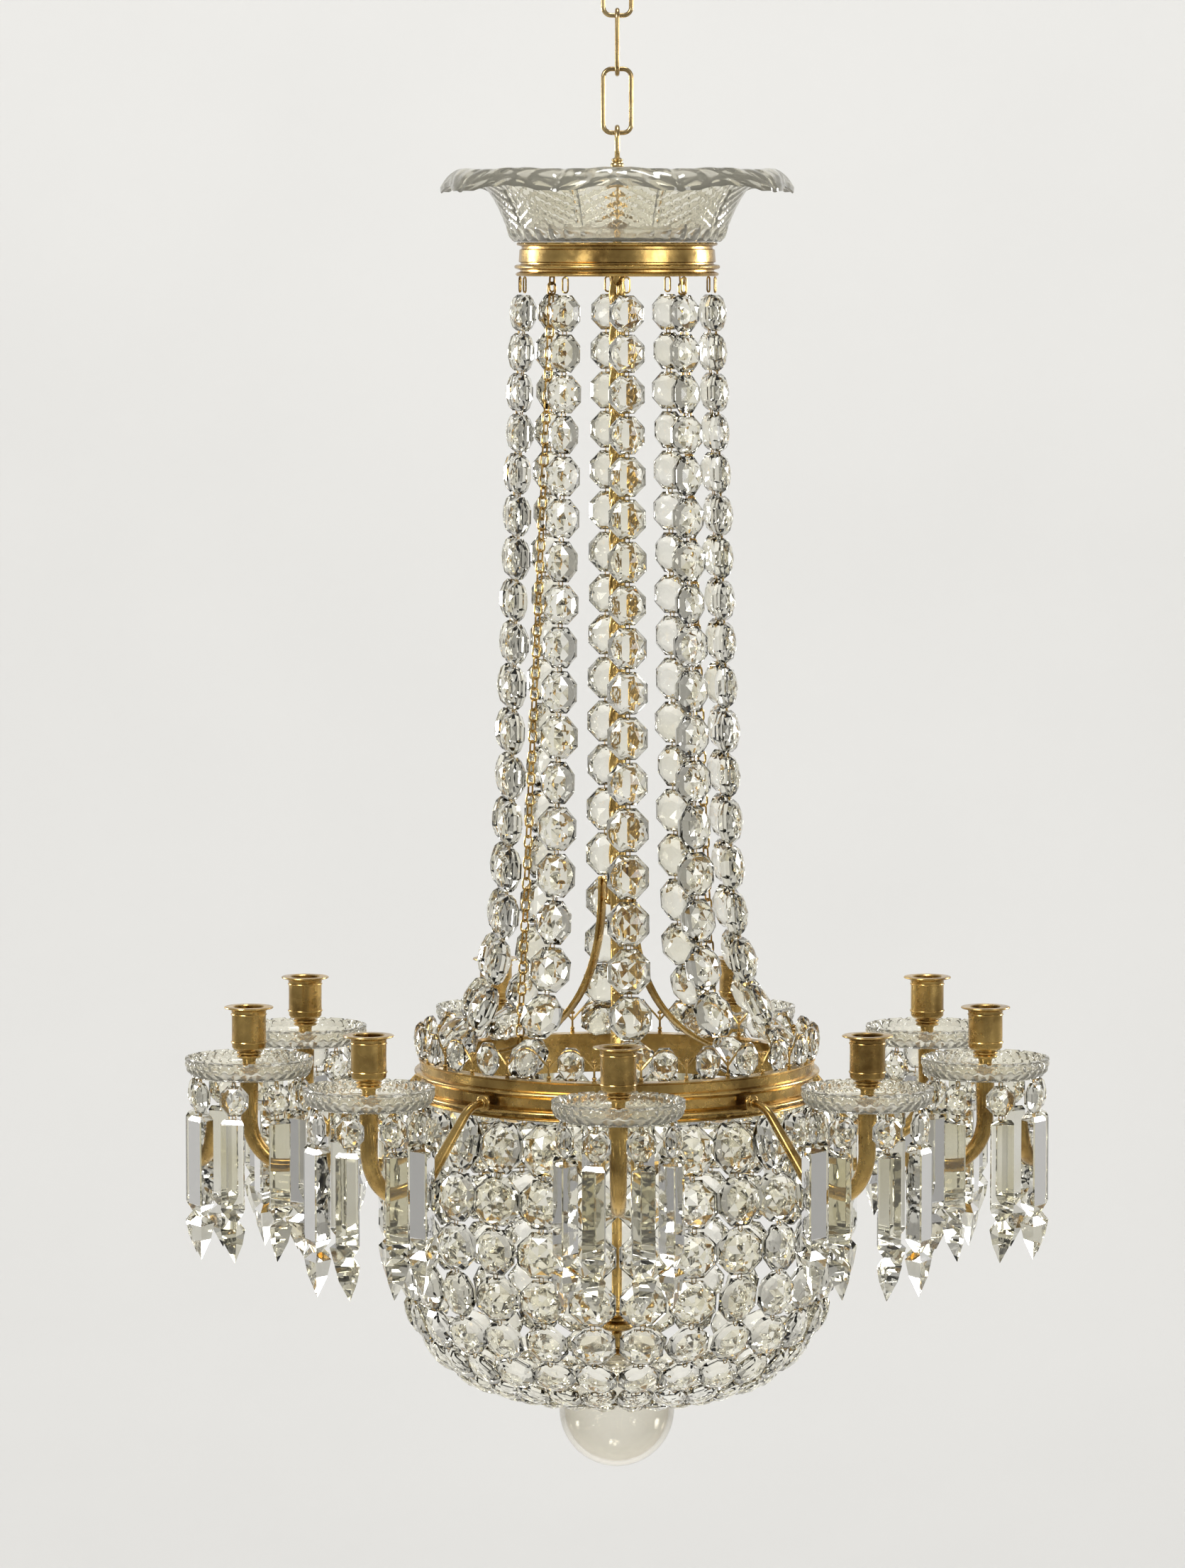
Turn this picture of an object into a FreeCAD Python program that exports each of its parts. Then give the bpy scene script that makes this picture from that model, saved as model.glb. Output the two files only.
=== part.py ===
"""Tent-and-bag crystal chandelier with nine candle arms, made as separate pieces.

Millimetres, +Z up.  The origin is where the ceiling hook bears on the top chain link, so the
whole chandelier hangs below z = 0.  Bearings are measured about Z from -Y, the front.
"""
import FreeCAD, Part
import math
import os

from FreeCAD import Vector

# ---- chain and stem -------------------------------------------------------------------------
LINK_LENGTH = 52.3          # outside length of a chain link
LINK_WIDTH = 25.0           # outside width of a chain link
LINK_WIRE = 3.6             # across the wire of a chain link
LINK_PLAY = 0.35            # running gap between two linked wires
EYE_LENGTH = 28.0           # outside length of the eye on top of the stem
EYE_WIDTH = 22.0
EYE_WIRE = 4.0
COLLAR_D = 10.0             # round collar under the eye
COLLAR_HEIGHT = 5.0
UPPER_STEM_D = 8.5
UPPER_STEM_LENGTH = 57.0    # from the collar down to the corona
CROWN_NUT_D = 21.0
CROWN_NUT_HEIGHT = 12.0
STEM_D = 13.0               # across the corners of the twisted stem
STEM_LENGTH = 486.0
STEM_TURNS = 7.0            # full turns of the twist
STEM_STEPS_PER_TURN = 5
STEM_HUB_D = 20.0           # turned hub under the stem that holds the straps
STEM_HUB_HEIGHT = 22.0
ROD_D = 8.0                 # plain rod inside the bag, down to the ball

# ---- glass crown and corona -----------------------------------------------------------------
CORONA_HEIGHT = 26.0
CORONA_BEAD_D = 160.0       # lower bead of the corona ring
CORONA_BAND_STEP = 2.0      # upper bead, in from the lower one
CORONA_RECESS_DEPTH = 5.0   # recessed band, in from the upper bead
CORONA_WALL = 11.0          # from the lower bead in to the bore
CORONA_BAND_D = CORONA_BEAD_D - 2 * CORONA_BAND_STEP
CORONA_RECESS_D = CORONA_BAND_D - 2 * CORONA_RECESS_DEPTH
CORONA_BORE_D = CORONA_BEAD_D - 2 * CORONA_WALL
CORONA_ARM_WIDTH = 12.0     # three flat arms inside the corona ring
CORONA_ARM_THICK = 5.0
CORONA_HUB_D = 24.0
CROWN_WAIST_REACH = 9.0     # crown: how far each place stands out past its foot
CROWN_SHOULDER_REACH = 22.0
CROWN_FLARE_REACH = 43.0
CROWN_LIP_REACH = 58.0
CROWN_FOOT_D = CORONA_BEAD_D
CROWN_WAIST_D = CROWN_FOOT_D + 2 * CROWN_WAIST_REACH
CROWN_SHOULDER_D = CROWN_FOOT_D + 2 * CROWN_SHOULDER_REACH
CROWN_FLARE_D = CROWN_FOOT_D + 2 * CROWN_FLARE_REACH
CROWN_LIP_D = CROWN_FOOT_D + 2 * CROWN_LIP_REACH
CROWN_WAIST_RISE = 18.0     # heights of the same places above the foot
CROWN_SHOULDER_RISE = 37.0
CROWN_FLARE_RISE = 52.0
CROWN_LIP_RISE = 40.0
CROWN_WALL = 4.5
CROWN_LOBES = 9
CROWN_LOBE_DEPTH = 7.0      # how far the lip draws in between two lobes
CROWN_FLARE_LOBED = 0.4     # share of that at the flare
CROWN_HOLE_PLAY = 1.3       # round the stem, in the crown's foot

# ---- tent of bead strands -------------------------------------------------------------------
TENT_STRANDS = 10
TENT_TURN = 5.0             # bearing of the first strand, in degrees
TENT_BEADS = 18
HOOK_INSET = 3.0            # hooks, in from the corona's lower bead
TENT_TOP_D = CORONA_BEAD_D - 2 * HOOK_INSET
TENT_HEIGHT = 606.0         # from the corona down to the main ring
TENT_LEAN = 18.0            # how far a strand drifts outwards over its height
TENT_FLARE_POWER = 14       # how late it flares out to the main ring
TENT_FOOT_INSET = 3.0       # its foot, out from the main ring's bore
TENT_BEAD_GROWTH = 1.25     # last bead over first bead
TENT_BEAD_ASPECT = 0.9      # width over height
TENT_BEAD_THICK = 0.55      # thickness over height
HOOK_LENGTH = 13.0          # brass hook between the corona and a strand's first bead
HOOK_WIRE = 2.0
BEAD_PLAY = 0.4             # gap between two beads on a strand

# ---- stem straps and support chains ---------------------------------------------------------
STRAPS = 3
STRAP_WIDTH = 10.0
STRAP_THICK = 3.0
STRAP_RING_DROP = 8.0       # where a strap meets the main ring, below the ring's top
STRAP_FLARE = 1.25          # 1 is a quarter ellipse, more hugs the stem longer
STRAP_STEPS = 9
CHAIN_TENT_GAP = 20.0       # top of a support chain, in from the tent's top
CHAIN_SPREAD = 31.0         # how far it leans out down to the strap
CHAIN_TOP_R = TENT_TOP_D / 2 - CHAIN_TENT_GAP
CHAIN_FOOT_R = CHAIN_TOP_R + CHAIN_SPREAD
CHAIN_WIRE = 4.0

# ---- main ring and gallery ------------------------------------------------------------------
RING_HEIGHT = 31.0
RING_D = 316.0
RING_RECESS_DEPTH = 4.0
RING_WALL = 16.0            # from its outside in to its bore
RING_RECESS_D = RING_D - 2 * RING_RECESS_DEPTH
RING_BORE_D = RING_D - 2 * RING_WALL
RING_TOP_BAND = 9.0
RING_FOOT_BAND = 7.0
RING_CHAMFER = 3.0
GALLERY_BAYS = 27
GALLERY_INSET = 5.0         # crystals and posts, in from the ring's outside
GALLERY_D = RING_D - 2 * GALLERY_INSET
GALLERY_CRYSTAL_HEIGHT = 27.0
GALLERY_CRYSTAL_WIDTH = 22.0
GALLERY_CRYSTAL_THICK = 12.0
GALLERY_POST = 3.0
GALLERY_POST_HEIGHT = 18.0

# ---- candle arms ----------------------------------------------------------------------------
ARMS = 9
ARM_REACH = 130.0           # from the main ring out to the candle's axis
CANDLE_R = RING_D / 2 + ARM_REACH
ARM_ROOT_DROP = 19.5        # arm axis below the top of the main ring
ARM_SEAT_DROP = 7.9         # pan seat below the top of the main ring
ARM_SHOULDER_R = 26.0       # bend that turns the arm down
ARM_HOOK_R = 40.0           # bend that turns it up to the candle
ARM_SLOPE = 47.0            # degrees
ARM_ROOT_D = 6.0
ARM_SEAT_D = 15.0
ARM_BOSS_D = 13.0
ARM_BOSS_THICK = 4.0
ARM_SIDES = 6
ARM_STEP = 34.0             # degrees of bend between two sections

# ---- candle cups and drip pans --------------------------------------------------------------
CANDLE_BORE_D = 23.0
CANDLE_BORE_DEPTH = 28.0
CUP_WALL = 2.5
CUP_FLANGE_LIP = 5.0        # how far the flange stands out past the body
CUP_FLANGE_HEIGHT = 2.5
CUP_FLOOR = 6.0             # under the candle's bore
CUP_BODY_D = CANDLE_BORE_D + 2 * CUP_WALL
CUP_FLANGE_D = CUP_BODY_D + 2 * CUP_FLANGE_LIP
CUP_BODY_HEIGHT = CANDLE_BORE_DEPTH + CUP_FLOOR
CUP_STALK_D = 10.5
CUP_STALK_HEIGHT = 15.3     # between the pan's floor and the body
CUP_FOOT_D = 15.0           # foot that clamps the pan
CUP_KNOP_D = 20.0           # knop between the stalk and the body
CUP_KNOP_HEIGHT = 5.0
CUP_CHAMFER = 2.5           # at the foot of the body
CUP_SPIGOT_D = 9.5
PAN_RIM_D = 100.0
PAN_FLARE = 6.5             # how far the rim stands out past the foot
PAN_FOOT_D = PAN_RIM_D - 2 * PAN_FLARE
PAN_HEIGHT = 15.0
PAN_FLOOR = 4.0
PAN_WALL = 3.5
PAN_SCALLOP = 2.0

# ---- drops ----------------------------------------------------------------------------------
DROPS = 8
DROP_INSET = 0.8            # drops, in from the edge of the pan's foot
DROP_CIRCLE_D = PAN_FOOT_D - 2 * DROP_INSET
BUTTON_WIDTH = 22.6
BUTTON_HEIGHT = 27.5
BUTTON_THICK = 12.0
PRISM_WIDTH = 20.0
PRISM_LENGTH = 72.0
WAIST_WIDTH = 7.0
WAIST_LENGTH = 6.0
SPEAR_WIDTH = 20.0
SPEAR_SHOULDER = 6.0
SPEAR_POINT = 27.0

# ---- bag of bead strands --------------------------------------------------------------------
BAG_STRANDS = 27
BAG_BEADS = 9
BAG_BULGE = 11.0            # how far it bulges out past the main ring
BAG_D = RING_D + 2 * BAG_BULGE
BAG_BULGE_DROP = 90.0
BAG_HEAD_INSET = 3.0        # head of a strand, in from the main ring's outside
BAG_HEIGHT = 229.6
BAG_FULLNESS = 2.6          # below the bulge, 2 is an ellipse and more is fuller
BAG_BEAD_GROWTH = 0.62
BAG_BEAD_ASPECT = 1.0
BAG_BEAD_THICK = 0.5
BAG_SIDE_PLAY = 0.6         # gap between beads of neighbouring strands
FOOT_RING_WALL = 3.5
FOOT_RING_HEIGHT = 4.0

# ---- ball -----------------------------------------------------------------------------------
BALL_D = 90.0
BALL_WALL = 4.0
BALL_DROP = 17.0            # ball centre below the foot ring
BALL_RING_PLAY = 1.5        # foot ring's bore round the ball's widest
FOOT_RING_BORE_D = BALL_D + 2 * BALL_RING_PLAY
FOOT_RING_D = FOOT_RING_BORE_D + 2 * FOOT_RING_WALL
ROD_HEAD_LIP = 1.75         # how far the rod's head stands out past the rod
ROD_HEAD_HEIGHT = 4.0
ROD_HEAD_D = ROD_D + 2 * ROD_HEAD_LIP
HEAD_PLAY = 0.75            # ball's neck round the rod's head
BALL_NECK_D = ROD_HEAD_D + 2 * HEAD_PLAY
BALL_BANDS = 6
CAP_LIP = 4.5               # how far the cap reaches past the neck
CAP_D = BALL_NECK_D + 2 * CAP_LIP
CAP_THICK = 5.0
CAP_PLAY = 0.3

SEAT_PLAY = 0.3             # between a glass piece and the brass that carries it
PATH_SAMPLES = 480          # points that a strand's path is measured on

# ---- flat sides round each kind of piece, few enough for a light model ----------------------
BEAD_SIDES = 6
WIRE_SIDES = 6
LINK_END_STEPS = 6          # straight steps round each end of a link
SMALL_SIDES = 12            # turned brass and drip pans
BALL_SIDES = 16
NUT_STEPS = 3               # steps up the crown nut's dome
CORONA_SIDES = 27
RING_SIDES = 36

# ---- levels worked out from the sizes -------------------------------------------------------
Z_AXIS = Vector(0, 0, 1)
LINK_PITCH = LINK_LENGTH - 2 * LINK_WIRE - LINK_PLAY
EYE_TOP_Z = EYE_WIRE - 3 * LINK_PITCH
STEM_TOP_Z = EYE_TOP_Z - EYE_LENGTH - COLLAR_HEIGHT
CORONA_Z = STEM_TOP_Z - UPPER_STEM_LENGTH
CORONA_FOOT_Z = CORONA_Z - CORONA_HEIGHT
CROWN_Z = CORONA_Z + SEAT_PLAY
CROWN_FLOOR_Z = CROWN_Z + CROWN_WALL
STEM_Z = CORONA_Z - CORONA_ARM_THICK
STEM_FOOT_Z = STEM_Z - STEM_LENGTH
ROD_TOP_Z = STEM_FOOT_Z - STEM_HUB_HEIGHT
RING_Z = CORONA_FOOT_Z - TENT_HEIGHT
RING_FOOT_Z = RING_Z - RING_HEIGHT
SEAT_Z = RING_Z - ARM_SEAT_DROP
PAN_FLOOR_Z = SEAT_Z + PAN_FLOOR
CUP_BODY_Z = PAN_FLOOR_Z + SEAT_PLAY + CUP_STALK_HEIGHT
BAG_FOOT_Z = RING_FOOT_Z - BAG_HEIGHT
BALL_Z = BAG_FOOT_Z - BALL_DROP
BALL_RIM_Z = BALL_Z + math.sqrt((BALL_D / 2) ** 2 - (BALL_NECK_D / 2) ** 2)
DROP_TOP_Z = SEAT_Z - SEAT_PLAY
PRISM_TOP_Z = DROP_TOP_Z - BUTTON_HEIGHT - BEAD_PLAY


# ---- helpers --------------------------------------------------------------------------------
def save(node, *solids):
    """Write one piece, or a group of like pieces, to its own file."""
    shape = solids[0] if len(solids) == 1 else Part.makeCompound(solids)
    shape.exportStep(f"parts/{node}.step")


def around(shape, count, start=0.0):
    """Copies of a shape made at the front, spaced evenly about Z."""
    copies = []
    for k in range(count):
        copy = shape.copy()
        copy.rotate(Vector(), Z_AXIS, start + 360.0 * k / count)
        copies.append(copy)
    return copies


def front(radius, z, across=0.0):
    """A point at the front: radius out from Z, and across it towards +X."""
    return Vector(across, -radius, z)


def flat_or_split(corners):
    """Faces over a four-cornered patch: one where it is flat, else two triangles."""
    a, b, c, d = corners
    normal = (b - a).cross(c - a)
    if normal.Length and abs(normal.dot(d - a)) / normal.Length < 1e-6:
        loops = [corners]
    else:
        loops = [[a, b, c], [a, c, d]]
    return [Part.Face(Part.makePolygon(loop + loop[:1])) for loop in loops]


def bands(rings, closed=False):
    """Faces between each ring of points and the next."""
    faces = []
    pairs = zip(rings, rings[1:] + rings[:1]) if closed else zip(rings, rings[1:])
    for low, high in pairs:
        count = max(len(low), len(high))
        for i in range(count):
            j = (i + 1) % count
            if len(high) == 1:
                faces.append(Part.Face(Part.makePolygon([low[i], low[j], high[0], low[i]])))
            elif len(low) == 1:
                faces.append(Part.Face(Part.makePolygon([low[0], high[j], high[i], low[0]])))
            else:
                faces += flat_or_split([low[i], low[j], high[j], high[i]])
    return faces


def solid_of(faces):
    """The solid inside a closed set of faces."""
    solid = Part.Solid(Part.makeShell(faces))
    if solid.Volume < 0:
        solid.reverse()
    return solid


def faceted(rings, closed=False):
    """A solid with flat facets through rings of points; a ring of one point is an apex."""
    faces = bands(rings, closed)
    if not closed:
        for ring in (rings[0], rings[-1]):
            if len(ring) > 1:
                faces.append(Part.Face(Part.makePolygon(ring + ring[:1])))
    return solid_of(faces)


def polygon(sides, radius, z, turn=0.0):
    """Corners of a level polygon about Z."""
    step = 2 * math.pi / sides
    return [Vector(radius * math.sin(step * (i + turn)), -radius * math.cos(step * (i + turn)), z)
            for i in range(sides)]


def turned(outline, sides=SMALL_SIDES):
    """A turned piece about Z from the (radius, z) corners of its outline."""
    rings = [polygon(sides, r, z) if r else [Vector(0, 0, z)] for r, z in outline]
    return faceted(rings, closed=bool(outline[0][0]))


def rod(diameter, low, high):
    """A plain round bar on Z."""
    return turned([(0, low), (diameter / 2, low), (diameter / 2, high), (0, high)])


def bead(height, width, thick):
    """Cut bead in the XZ plane: a flat-topped polygon drawn to a point front and back."""
    angles = [2 * math.pi / BEAD_SIDES * (i + 0.5) for i in range(BEAD_SIDES)]
    widest = max(math.sin(angle) for angle in angles)
    tallest = max(math.cos(angle) for angle in angles)
    girdle = [Vector(width / 2 * math.sin(angle) / widest, 0, height / 2 * math.cos(angle) / tallest)
              for angle in angles]
    return faceted([[Vector(0, -thick / 2, 0)], girdle, [Vector(0, thick / 2, 0)]])


def joints_along(path, count, growth):
    """Points on a path that part it into pieces, the last one growth times the first."""
    points = [path(i / PATH_SAMPLES) for i in range(PATH_SAMPLES + 1)]
    travelled = [0.0]
    for a, b in zip(points, points[1:]):
        travelled.append(travelled[-1] + a.distanceToPoint(b))
    shares = [1 + (growth - 1) * k / (count - 1) for k in range(count)]
    marks, done = [points[0]], 0.0
    for share in shares:
        done += share * travelled[-1] / sum(shares)
        place = min(range(PATH_SAMPLES + 1), key=lambda i: abs(travelled[i] - done))
        marks.append(points[place])
    return marks


def strand(path, count, growth, aspect, thick, widest=None):
    """Beads end to end along a path at the front."""
    marks = joints_along(path, count, growth)
    beads = []
    for a, b in zip(marks, marks[1:]):
        middle = (a + b) / 2
        height = a.distanceToPoint(b) - BEAD_PLAY
        width = aspect * height
        if widest:
            width = min(width, widest(-middle.y))
        piece = bead(height, width, thick * height)
        lean = math.degrees(math.atan2(b.y - a.y, a.z - b.z))
        piece.rotate(Vector(), Vector(1, 0, 0), lean)
        piece.translate(middle)
        beads.append(piece)
    return beads


# ---- chain, stem and crown ------------------------------------------------------------------
def link(length, width, wire):
    """Long link in the XZ plane with round ends, its inner top at the origin."""
    bend = (width - wire) / 2
    straight = (length - width) / 2
    middle = Vector(0, 0, wire - length / 2)
    rings = []
    for end in (1, -1):
        for k in range(LINK_END_STEPS + 1):
            turn = math.pi * k / LINK_END_STEPS
            side = Vector(end * math.cos(turn), 0, end * math.sin(turn))
            centre = middle + Vector(0, 0, end * straight) + side * bend
            rings.append([centre + side * (wire / 2 * math.sin(2 * math.pi * (i + 0.5) / WIRE_SIDES))
                          + Vector(0, wire / 2 * math.cos(2 * math.pi * (i + 0.5) / WIRE_SIDES), 0)
                          for i in range(WIRE_SIDES)])
    return faceted(rings, closed=True)


def chain():
    """Three links, each hung in the one above and turned a quarter from it."""
    for k, node in enumerate(["top_link", "middle_link", "lower_link"]):
        piece = link(LINK_LENGTH, LINK_WIDTH, LINK_WIRE)
        piece.rotate(Vector(), Z_AXIS, 90.0 * (k % 2))
        piece.translate(Vector(0, 0, -k * LINK_PITCH))
        save(node, piece)


def stem():
    """Eye with its collar, upper stem, twisted stem, strap hub and the rod in the bag."""
    eye = link(EYE_LENGTH, EYE_WIDTH, EYE_WIRE)
    eye.rotate(Vector(), Z_AXIS, 90)
    eye.translate(Vector(0, 0, EYE_TOP_Z - EYE_WIRE))
    collar = rod(COLLAR_D, STEM_TOP_Z, STEM_TOP_Z + COLLAR_HEIGHT + EYE_WIRE / 2)
    save("stem_eye", eye.fuse(collar).removeSplitter())
    save("upper_stem", rod(UPPER_STEM_D, CORONA_Z, STEM_TOP_Z))

    steps = round(STEM_TURNS * STEM_STEPS_PER_TURN)
    rings = [polygon(4, STEM_D / 2, STEM_Z - STEM_LENGTH * k / steps, 4 * STEM_TURNS * k / steps)
             for k in range(steps + 1)]
    save("centre_stem", faceted(rings))

    save("strap_hub", rod(STEM_HUB_D, ROD_TOP_Z, STEM_FOOT_Z))
    shaft, head = ROD_D / 2, ROD_HEAD_D / 2
    head_z = BALL_RIM_Z - CAP_PLAY
    save("ball_rod", turned([
        (0, ROD_TOP_Z), (shaft, ROD_TOP_Z), (shaft, head_z), (head, head_z),
        (head, head_z - ROD_HEAD_HEIGHT), (0, head_z - ROD_HEAD_HEIGHT)]))


def corona():
    """Moulded ring under the crown, its three flat arms and the nut that holds the crown."""
    bore, band, recess, foot = (d / 2 for d in (CORONA_BORE_D, CORONA_BAND_D, CORONA_RECESS_D,
                                                CORONA_BEAD_D))
    slope = band - recess
    save("corona_ring", turned([
        (bore, CORONA_Z), (band, CORONA_Z), (band, CORONA_Z - slope), (recess, CORONA_Z - 2 * slope),
        (recess, CORONA_FOOT_Z + 2 * slope), (foot, CORONA_FOOT_Z + slope), (foot, CORONA_FOOT_Z),
        (bore, CORONA_FOOT_Z)], CORONA_SIDES))
    hub = rod(CORONA_HUB_D, STEM_Z, CORONA_Z)
    reach = math.sqrt(bore ** 2 - (CORONA_ARM_WIDTH / 2) ** 2) * math.cos(math.pi / CORONA_SIDES) - SEAT_PLAY
    arm = Part.makeBox(CORONA_ARM_WIDTH, reach, CORONA_ARM_THICK,
                       Vector(-CORONA_ARM_WIDTH / 2, -reach, STEM_Z))
    save("corona_spider", hub.multiFuse(around(arm, STRAPS)).removeSplitter())

    nut, stem_r = CROWN_NUT_D / 2, UPPER_STEM_D / 2 + SEAT_PLAY
    nut_z = CROWN_FLOOR_Z + SEAT_PLAY
    full = math.acos(stem_r / nut)
    dome = [(nut * math.cos(full * k / NUT_STEPS),
             nut_z + CROWN_NUT_HEIGHT * math.sin(full * k / NUT_STEPS) / math.sin(full))
            for k in range(NUT_STEPS)]
    save("crown_nut", turned([(stem_r, nut_z)] + dome + [(stem_r, nut_z + CROWN_NUT_HEIGHT)]))


def crown():
    """Cut-glass dish with a lip that curls over in lobes."""
    sides = 3 * CROWN_LOBES

    def ring(diameter, rise, inset=0.0, lobed=0.0):
        points = polygon(sides, diameter / 2 - inset, CROWN_Z + rise)
        for i, point in enumerate(points):
            if i % 3 == 0:
                scale = 1 - lobed * CROWN_LOBE_DEPTH / math.hypot(point.x, point.y)
                points[i] = Vector(point.x * scale, point.y * scale, point.z + lobed * CROWN_WALL / 2)
        return points

    hole_d = UPPER_STEM_D + 2 * CROWN_HOLE_PLAY
    save("crown_glass", faceted([
        ring(hole_d, 0), ring(CROWN_FOOT_D, 0), ring(CROWN_WAIST_D, CROWN_WAIST_RISE),
        ring(CROWN_SHOULDER_D, CROWN_SHOULDER_RISE),
        ring(CROWN_FLARE_D, CROWN_FLARE_RISE, lobed=CROWN_FLARE_LOBED),
        ring(CROWN_LIP_D, CROWN_LIP_RISE, lobed=1), ring(CROWN_LIP_D, CROWN_LIP_RISE + CROWN_WALL, lobed=1),
        ring(CROWN_FLARE_D, CROWN_FLARE_RISE + CROWN_WALL, lobed=CROWN_FLARE_LOBED),
        ring(CROWN_SHOULDER_D, CROWN_SHOULDER_RISE, inset=CROWN_WALL),
        ring(CROWN_WAIST_D, CROWN_WAIST_RISE, inset=CROWN_WALL),
        ring(CROWN_FOOT_D, CROWN_WALL, inset=CROWN_WALL), ring(hole_d, CROWN_WALL)], closed=True))


# ---- tent, straps and support chains --------------------------------------------------------
def tent_path(share):
    """Centre line of a tent strand at the front, from its hook to the main ring."""
    top = CORONA_FOOT_Z - HOOK_LENGTH - SEAT_PLAY
    foot_r = RING_BORE_D / 2 + TENT_FOOT_INSET
    flare = foot_r - TENT_TOP_D / 2 - TENT_LEAN
    radius = TENT_TOP_D / 2 + TENT_LEAN * share + flare * share ** TENT_FLARE_POWER
    return front(radius, top + (RING_Z - top) * share)


def tent():
    """Strands of cut beads on brass hooks, the first one a little to the right of the front."""
    beads = Part.makeCompound(strand(tent_path, TENT_BEADS, TENT_BEAD_GROWTH, TENT_BEAD_ASPECT,
                                     TENT_BEAD_THICK))
    for k, piece in enumerate(around(beads, TENT_STRANDS, TENT_TURN)):
        save(f"tent_strand_{k + 1}", piece)
    hook = Part.makeBox(HOOK_WIRE, HOOK_WIRE, HOOK_LENGTH,
                        front(TENT_TOP_D / 2 + HOOK_WIRE / 2, CORONA_FOOT_Z - HOOK_LENGTH,
                              -HOOK_WIRE / 2))
    save("tent_hooks", *around(hook, TENT_STRANDS, TENT_TURN))


def strap_point(share):
    """Middle of a strap at the front: down along the hub, then out to the main ring."""
    start_r = STEM_HUB_D / 2 + STRAP_THICK / 2
    end_r = RING_BORE_D / 2 * math.cos(math.pi / RING_SIDES) - SEAT_PLAY
    turn = math.pi / 2 * share
    drop = STEM_FOOT_Z - (RING_Z - STRAP_RING_DROP)
    return front(start_r + (end_r - start_r) * (1 - math.cos(turn)) ** STRAP_FLARE,
                 STEM_FOOT_Z - drop * math.sin(turn))


def straps():
    """Three curved straps from the hub to the main ring."""
    rings, nudge = [], 0.1 / STRAP_STEPS
    for k in range(STRAP_STEPS + 1):
        share = k / STRAP_STEPS
        along = strap_point(min(1, share + nudge)) - strap_point(max(0, share - nudge))
        if k == 0:
            along = Vector(0, 0, -1)
        if k == STRAP_STEPS:
            along = Vector(0, -1, 0)
        out = along.normalize().cross(Vector(1, 0, 0)) * (STRAP_THICK / 2)
        side = Vector(STRAP_WIDTH / 2, 0, 0)
        middle = strap_point(share)
        rings.append([middle - side - out, middle + side - out, middle + side + out, middle - side + out])
    save("stem_straps", *around(faceted(rings), STRAPS))


def support_chains():
    """Plain cores of the three chains from the corona arms to the straps."""
    hub_r, ring_r = -strap_point(0).y, -strap_point(1).y
    out = ((CHAIN_FOOT_R - hub_r) / (ring_r - hub_r)) ** (1 / STRAP_FLARE)
    foot = strap_point(math.acos(1 - out) / (math.pi / 2)) + Vector(0, 0, STRAP_THICK / 2 + 4 * SEAT_PLAY)
    top = front(CHAIN_TOP_R, STEM_Z - SEAT_PLAY)
    half = CHAIN_WIRE / 2
    square = [Vector(-half, -half, 0), Vector(half, -half, 0), Vector(half, half, 0), Vector(-half, half, 0)]
    core = faceted([[foot + p for p in square], [top + p for p in square]])
    save("support_chains", *around(core, STRAPS))


# ---- main ring and gallery ------------------------------------------------------------------
def main_ring():
    """Moulded ring that carries the arms, the gallery, the tent and the bag."""
    bore, outer, recess = RING_BORE_D / 2, RING_D / 2, RING_RECESS_D / 2
    band_z, foot_z = RING_Z - RING_TOP_BAND, RING_FOOT_Z + RING_FOOT_BAND
    save("main_ring", turned([
        (bore, RING_Z), (outer, RING_Z), (outer, band_z), (recess, band_z - RING_CHAMFER),
        (recess, foot_z + RING_CHAMFER), (outer, foot_z), (outer, RING_FOOT_Z), (bore, RING_FOOT_Z)],
        RING_SIDES))


def gallery():
    """Upright crystals on top of the main ring, with a brass post between each two."""
    radius = GALLERY_D / 2
    crystal = bead(GALLERY_CRYSTAL_HEIGHT, GALLERY_CRYSTAL_WIDTH, GALLERY_CRYSTAL_THICK)
    crystal.translate(front(radius, RING_Z + SEAT_PLAY + GALLERY_CRYSTAL_HEIGHT / 2))
    save("gallery_crystals", *around(crystal, GALLERY_BAYS))
    half = GALLERY_POST / 2
    post = Part.makeBox(GALLERY_POST, GALLERY_POST, GALLERY_POST_HEIGHT,
                        front(radius + half, RING_Z, -half))
    save("gallery_posts", *around(post, GALLERY_BAYS, 180.0 / GALLERY_BAYS))


# ---- candle arms, cups and pans -------------------------------------------------------------
def arm_sections():
    """Centre line of the arm at the front, as (point, heading in degrees) from ring to seat."""
    r, z, sections = RING_D / 2 + ARM_BOSS_THICK, RING_Z - ARM_ROOT_DROP, []
    bends = max(1, round(ARM_SLOPE / ARM_STEP))
    for k in range(bends + 1):
        turn = math.radians(ARM_SLOPE * k / bends)
        sections.append((front(r + ARM_SHOULDER_R * math.sin(turn),
                               z - ARM_SHOULDER_R * (1 - math.cos(turn))), -math.degrees(turn)))
    shoulder = sections[-1][0]
    slope = math.radians(ARM_SLOPE)
    centre_r = CANDLE_R - ARM_HOOK_R
    low_r = centre_r - ARM_HOOK_R * math.sin(slope)
    low_z = shoulder.z - (low_r + shoulder.y) * math.tan(slope)
    centre_z = low_z + ARM_HOOK_R * math.cos(slope)
    bends = round((90 + ARM_SLOPE) / ARM_STEP)
    for k in range(bends + 1):
        heading = -ARM_SLOPE + (90 + ARM_SLOPE) * k / bends
        turn = math.radians(heading)
        sections.append((front(centre_r + ARM_HOOK_R * math.sin(turn),
                               centre_z - ARM_HOOK_R * math.cos(turn)), heading))
    sections.append((front(CANDLE_R, SEAT_Z), 90.0))
    return sections


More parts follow.
